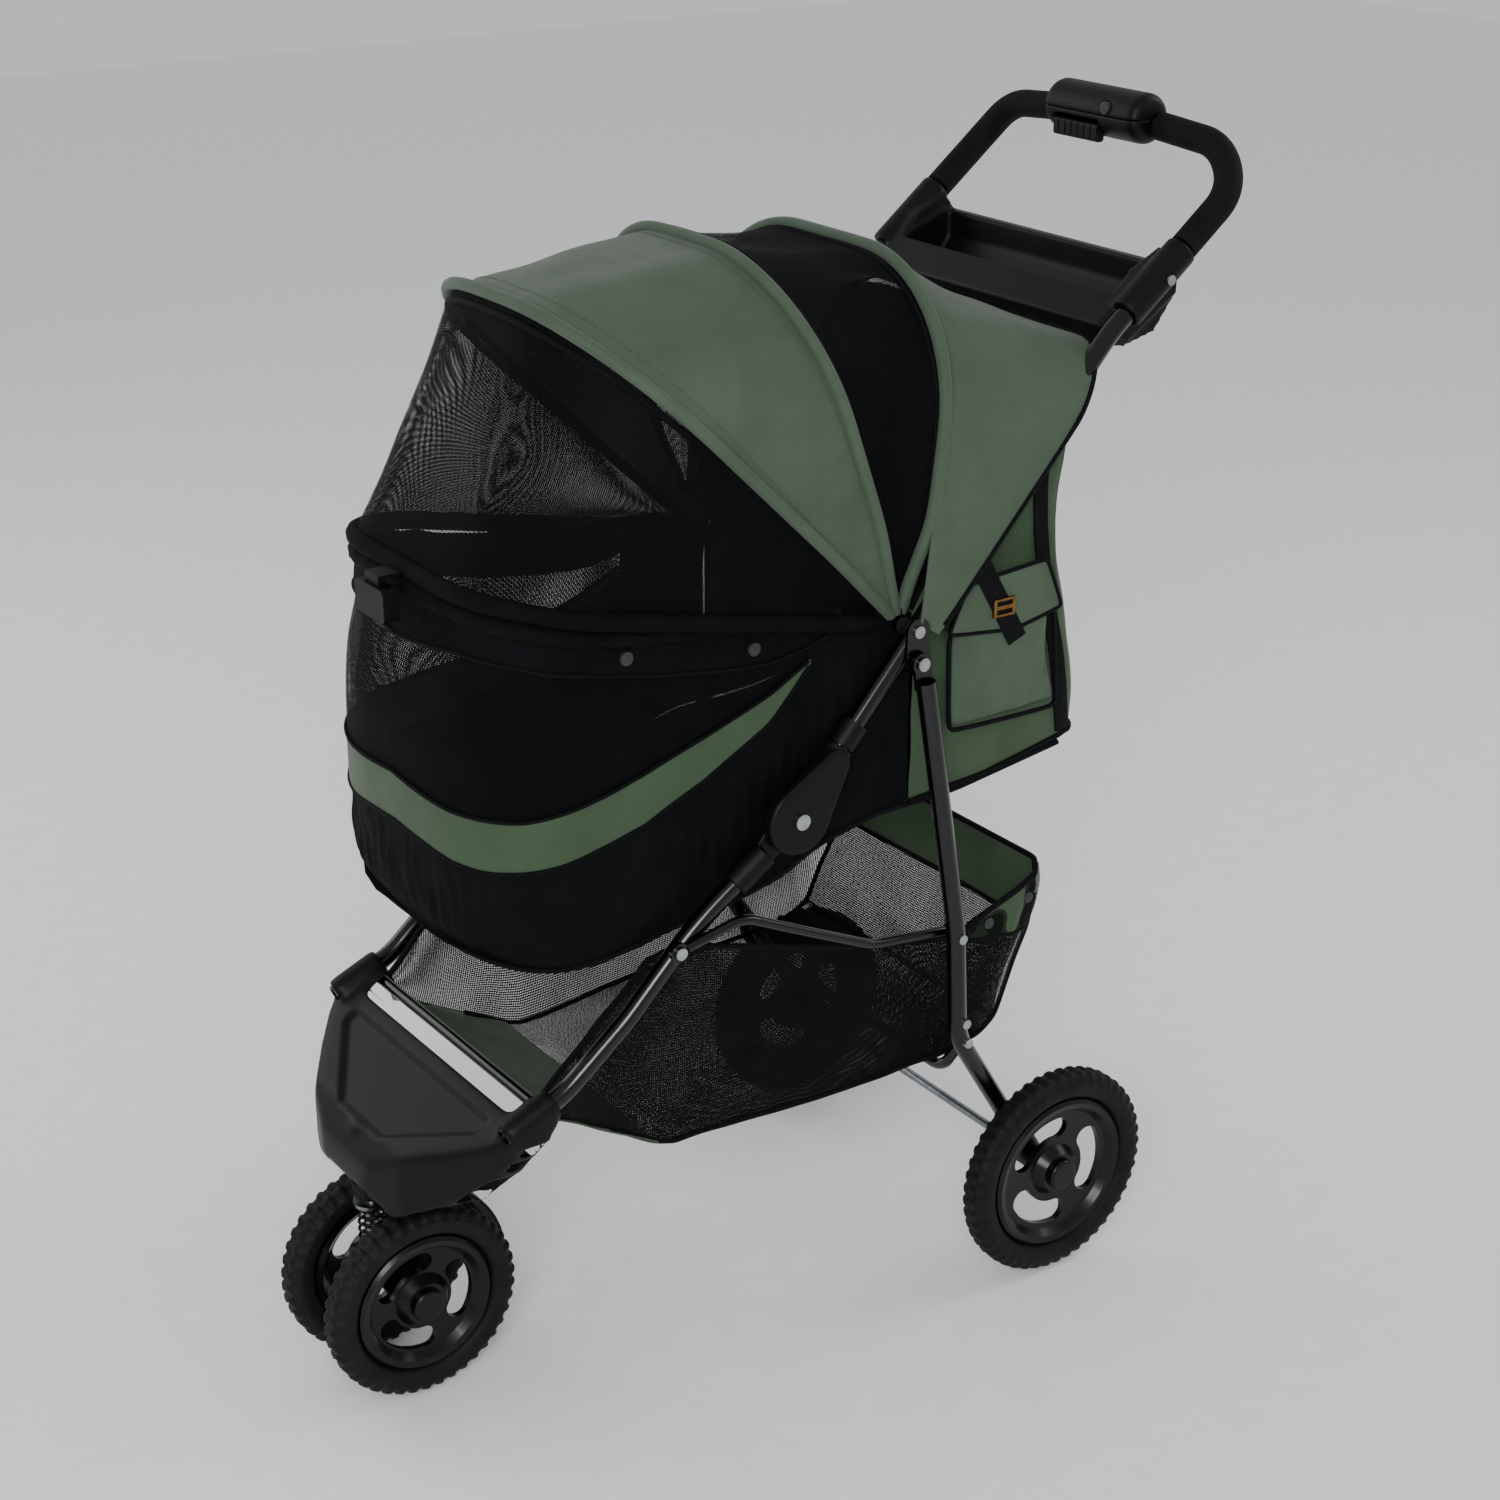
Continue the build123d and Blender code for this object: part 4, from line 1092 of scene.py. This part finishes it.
basket_tail = grid_sheet(50, 20, basket_tail_place, 0.8)
finish_piece(basket_tail, "basket_tail_net", basket_net, "front_frame")
for name, edge, radius in (("basket_rear_top_binding", 1.0, 2.6), ("basket_rear_low_binding", 0.0, 2.4)):
    line = [basket_rear_place(i / 70, edge) for i in range(71)]
    finish_piece(line_tube(line, radius), name, binding_tape, "front_frame")
for side, word in SIDES:
    for number, (y, z) in enumerate(((168, 330), (214, 340))):
        x = abs(basket_rear_path(-REAR_HALF + (y - 150) * 1.24)[0]) + 2
        press_stud(f"basket_stud_{word}_{number}", (x, y, z), 5.0, "front_frame", side)


# Tyres: foam rings with lugs across the tread

REAR_RADIUS = 95
FRONT_RADIUS = 84.5


def lugged_tyre(radius, rim_radius, width, lugs, depth, name, centre, body, node):
    """A foam ring, oval in section, with slanting lugs across the tread and nubs on its sides."""
    middle, high = (radius + rim_radius) / 2, (radius - rim_radius) / 2

    def place(u, v):
        around, section = 2 * math.pi * u, 2 * math.pi * v
        side = math.cos(section)
        up = math.sin(section)
        x = width / 2 * math.copysign(abs(side) ** 0.72, side)
        r = middle + high * math.copysign(abs(up) ** 0.8, up)
        shoulder = ease(0.15, 0.45, up)
        wave = math.sin(lugs * around + (0.9 if x > 0 else -0.9) * (1 - abs(side)))
        groove = ease(-0.1, 0.55, wave) * shoulder
        centre_line = math.exp(-((x / (width * 0.07)) ** 2)) * ease(0.7, 0.95, up)
        nub = ease(0.2, 0.6, math.sin(lugs * around + 1.5)) * 0.35
        nub *= math.exp(-(((up - 0.05) / 0.16) ** 2))
        r -= depth * (1 - groove) * shoulder + depth * 0.5 * centre_line
        cut_back = depth * 0.45 * (1 - groove) * shoulder * abs(side)
        x += math.copysign(depth * nub * 0.8, x) - math.copysign(cut_back, x)
        return x + centre[0], centre[1] + r * math.cos(around), centre[2] + r * math.sin(around)

    obj = grid_sheet(lugs * 6, 32, place)
    face_outward(obj, 0.00003)
    shade(obj, 50)
    return finish_piece(obj, name, tyre_foam, body, [node])


for side, word in SIDES:
    lugged_tyre(
        REAR_RADIUS, 69.5, 26.5, 48, 1.7, f"rear_tyre_tread_{word}",
        (side * 191.75, 216, REAR_RADIUS), f"rear_wheel_{word}", f"rear_tyre_{word}",
    )
    lugged_tyre(
        FRONT_RADIUS, 60, 28, 42, 1.9, f"front_tyre_tread_{word}",
        (side * 39, -326, FRONT_RADIUS), f"front_wheel_{word}", f"front_tyre_{word}",
    )


# Mouldings with softened edges

nose = softened_copy(["nose_shell"], 2.0, 60)
for vertex in nose.data.vertices:
    # a shallow dish in the top, an even margin in from the moulding's edge
    p = vertex.co * 1000
    inset = 0.863 * ((p.y + 370) - 0.585 * max(abs(p.x) - 34, 0))
    dish = ease(12, 19, inset) * (1 - ease(-300, -292, p.y)) * (1 - ease(106, 116, abs(p.x)))
    if p.z > 204:
        vertex.co += Vector((0, 1.4, -2.8)) * dish * MM
finish_piece(nose, "nose_shield", black_mould, "front_frame", ["nose_shell"])

tray = softened_copy(["parent_tray"], 2.0, 5)
finish_piece(tray, "parent_tray_moulding", black_mould, "upper_frame", ["parent_tray"])
for half in ("upper", "lower"):
    shell = softened_copy([f"handle_housing_{half}"], 1.3, 4)
    finish_piece(
        shell, f"handle_casing_{half}", black_mould, "upper_frame",
        [f"handle_housing_{half}"],
    )
for word in ("left", "right"):
    cover = softened_copy([f"upper_knuckle_{word}"], 1.1, 3)
    finish_piece(
        cover, f"hinge_cover_{word}", black_mould, "upper_frame",
        [f"upper_knuckle_{word}"],
    )
    socket = softened_copy([f"lower_knuckle_{word}"], 1.1, 2)
    finish_piece(
        socket, f"hinge_socket_{word}", black_mould, "front_frame",
        [f"lower_knuckle_{word}"],
    )

spring = cad_copy(["caster_spring"])
shade(spring, 60)
finish_piece(spring, "coil_spring", spring_wire, "caster_stem", ["caster_spring"])
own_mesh(spring)


# Each basket piece gets a mesh of its own
for piece in list(bpy.data.objects):
    if piece.name.startswith("basket_") and piece.name != "basket_body":
        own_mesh(piece)


# Floor, lights and camera

deselect()
bpy.ops.mesh.primitive_plane_add(size=14, location=(0, 0, -0.0005))
floor = bpy.context.object
floor.name = "studio_floor"
floor.data.materials.append(moulded_plastic("pale_floor", "f4f4f2", "f8f8f6", 0.7, 0.01, 0.00001))

world = bpy.data.worlds.new("studio")
bpy.context.scene.world = world
world.use_nodes = True
background = world.node_tree.nodes["Background"]
background.inputs["Color"].default_value = (0.93, 0.94, 0.96, 1)
background.inputs["Strength"].default_value = 0.7


def soft_box(name, place, size, power):
    """A square area light aimed at the middle of the stroller."""
    light = bpy.data.lights.new(name, "AREA")
    light.size = size
    light.energy = power
    obj = bpy.data.objects.new(name, light)
    bpy.context.scene.collection.objects.link(obj)
    obj.location = place
    aim = Vector((0, 0, 0.5)) - Vector(place)
    obj.rotation_euler = aim.to_track_quat("-Z", "Y").to_euler()


soft_box("key", (2.1, -1.7, 1.7), 1.0, 55)
soft_box("fill", (-2.2, -1.2, 1.6), 1.6, 18)
soft_box("rim", (0.6, 2.4, 2.0), 1.2, 16)

camera_data = bpy.data.cameras.new("camera")
camera_data.lens = 64.39
camera_data.sensor_width = 36
camera = bpy.data.objects.new("camera", camera_data)
bpy.context.scene.collection.objects.link(camera)
camera.location = (1.70947, -1.15592, 1.33536)
camera.rotation_euler = (math.radians(67.41), 0, math.radians(55.32))
bpy.context.scene.camera = camera
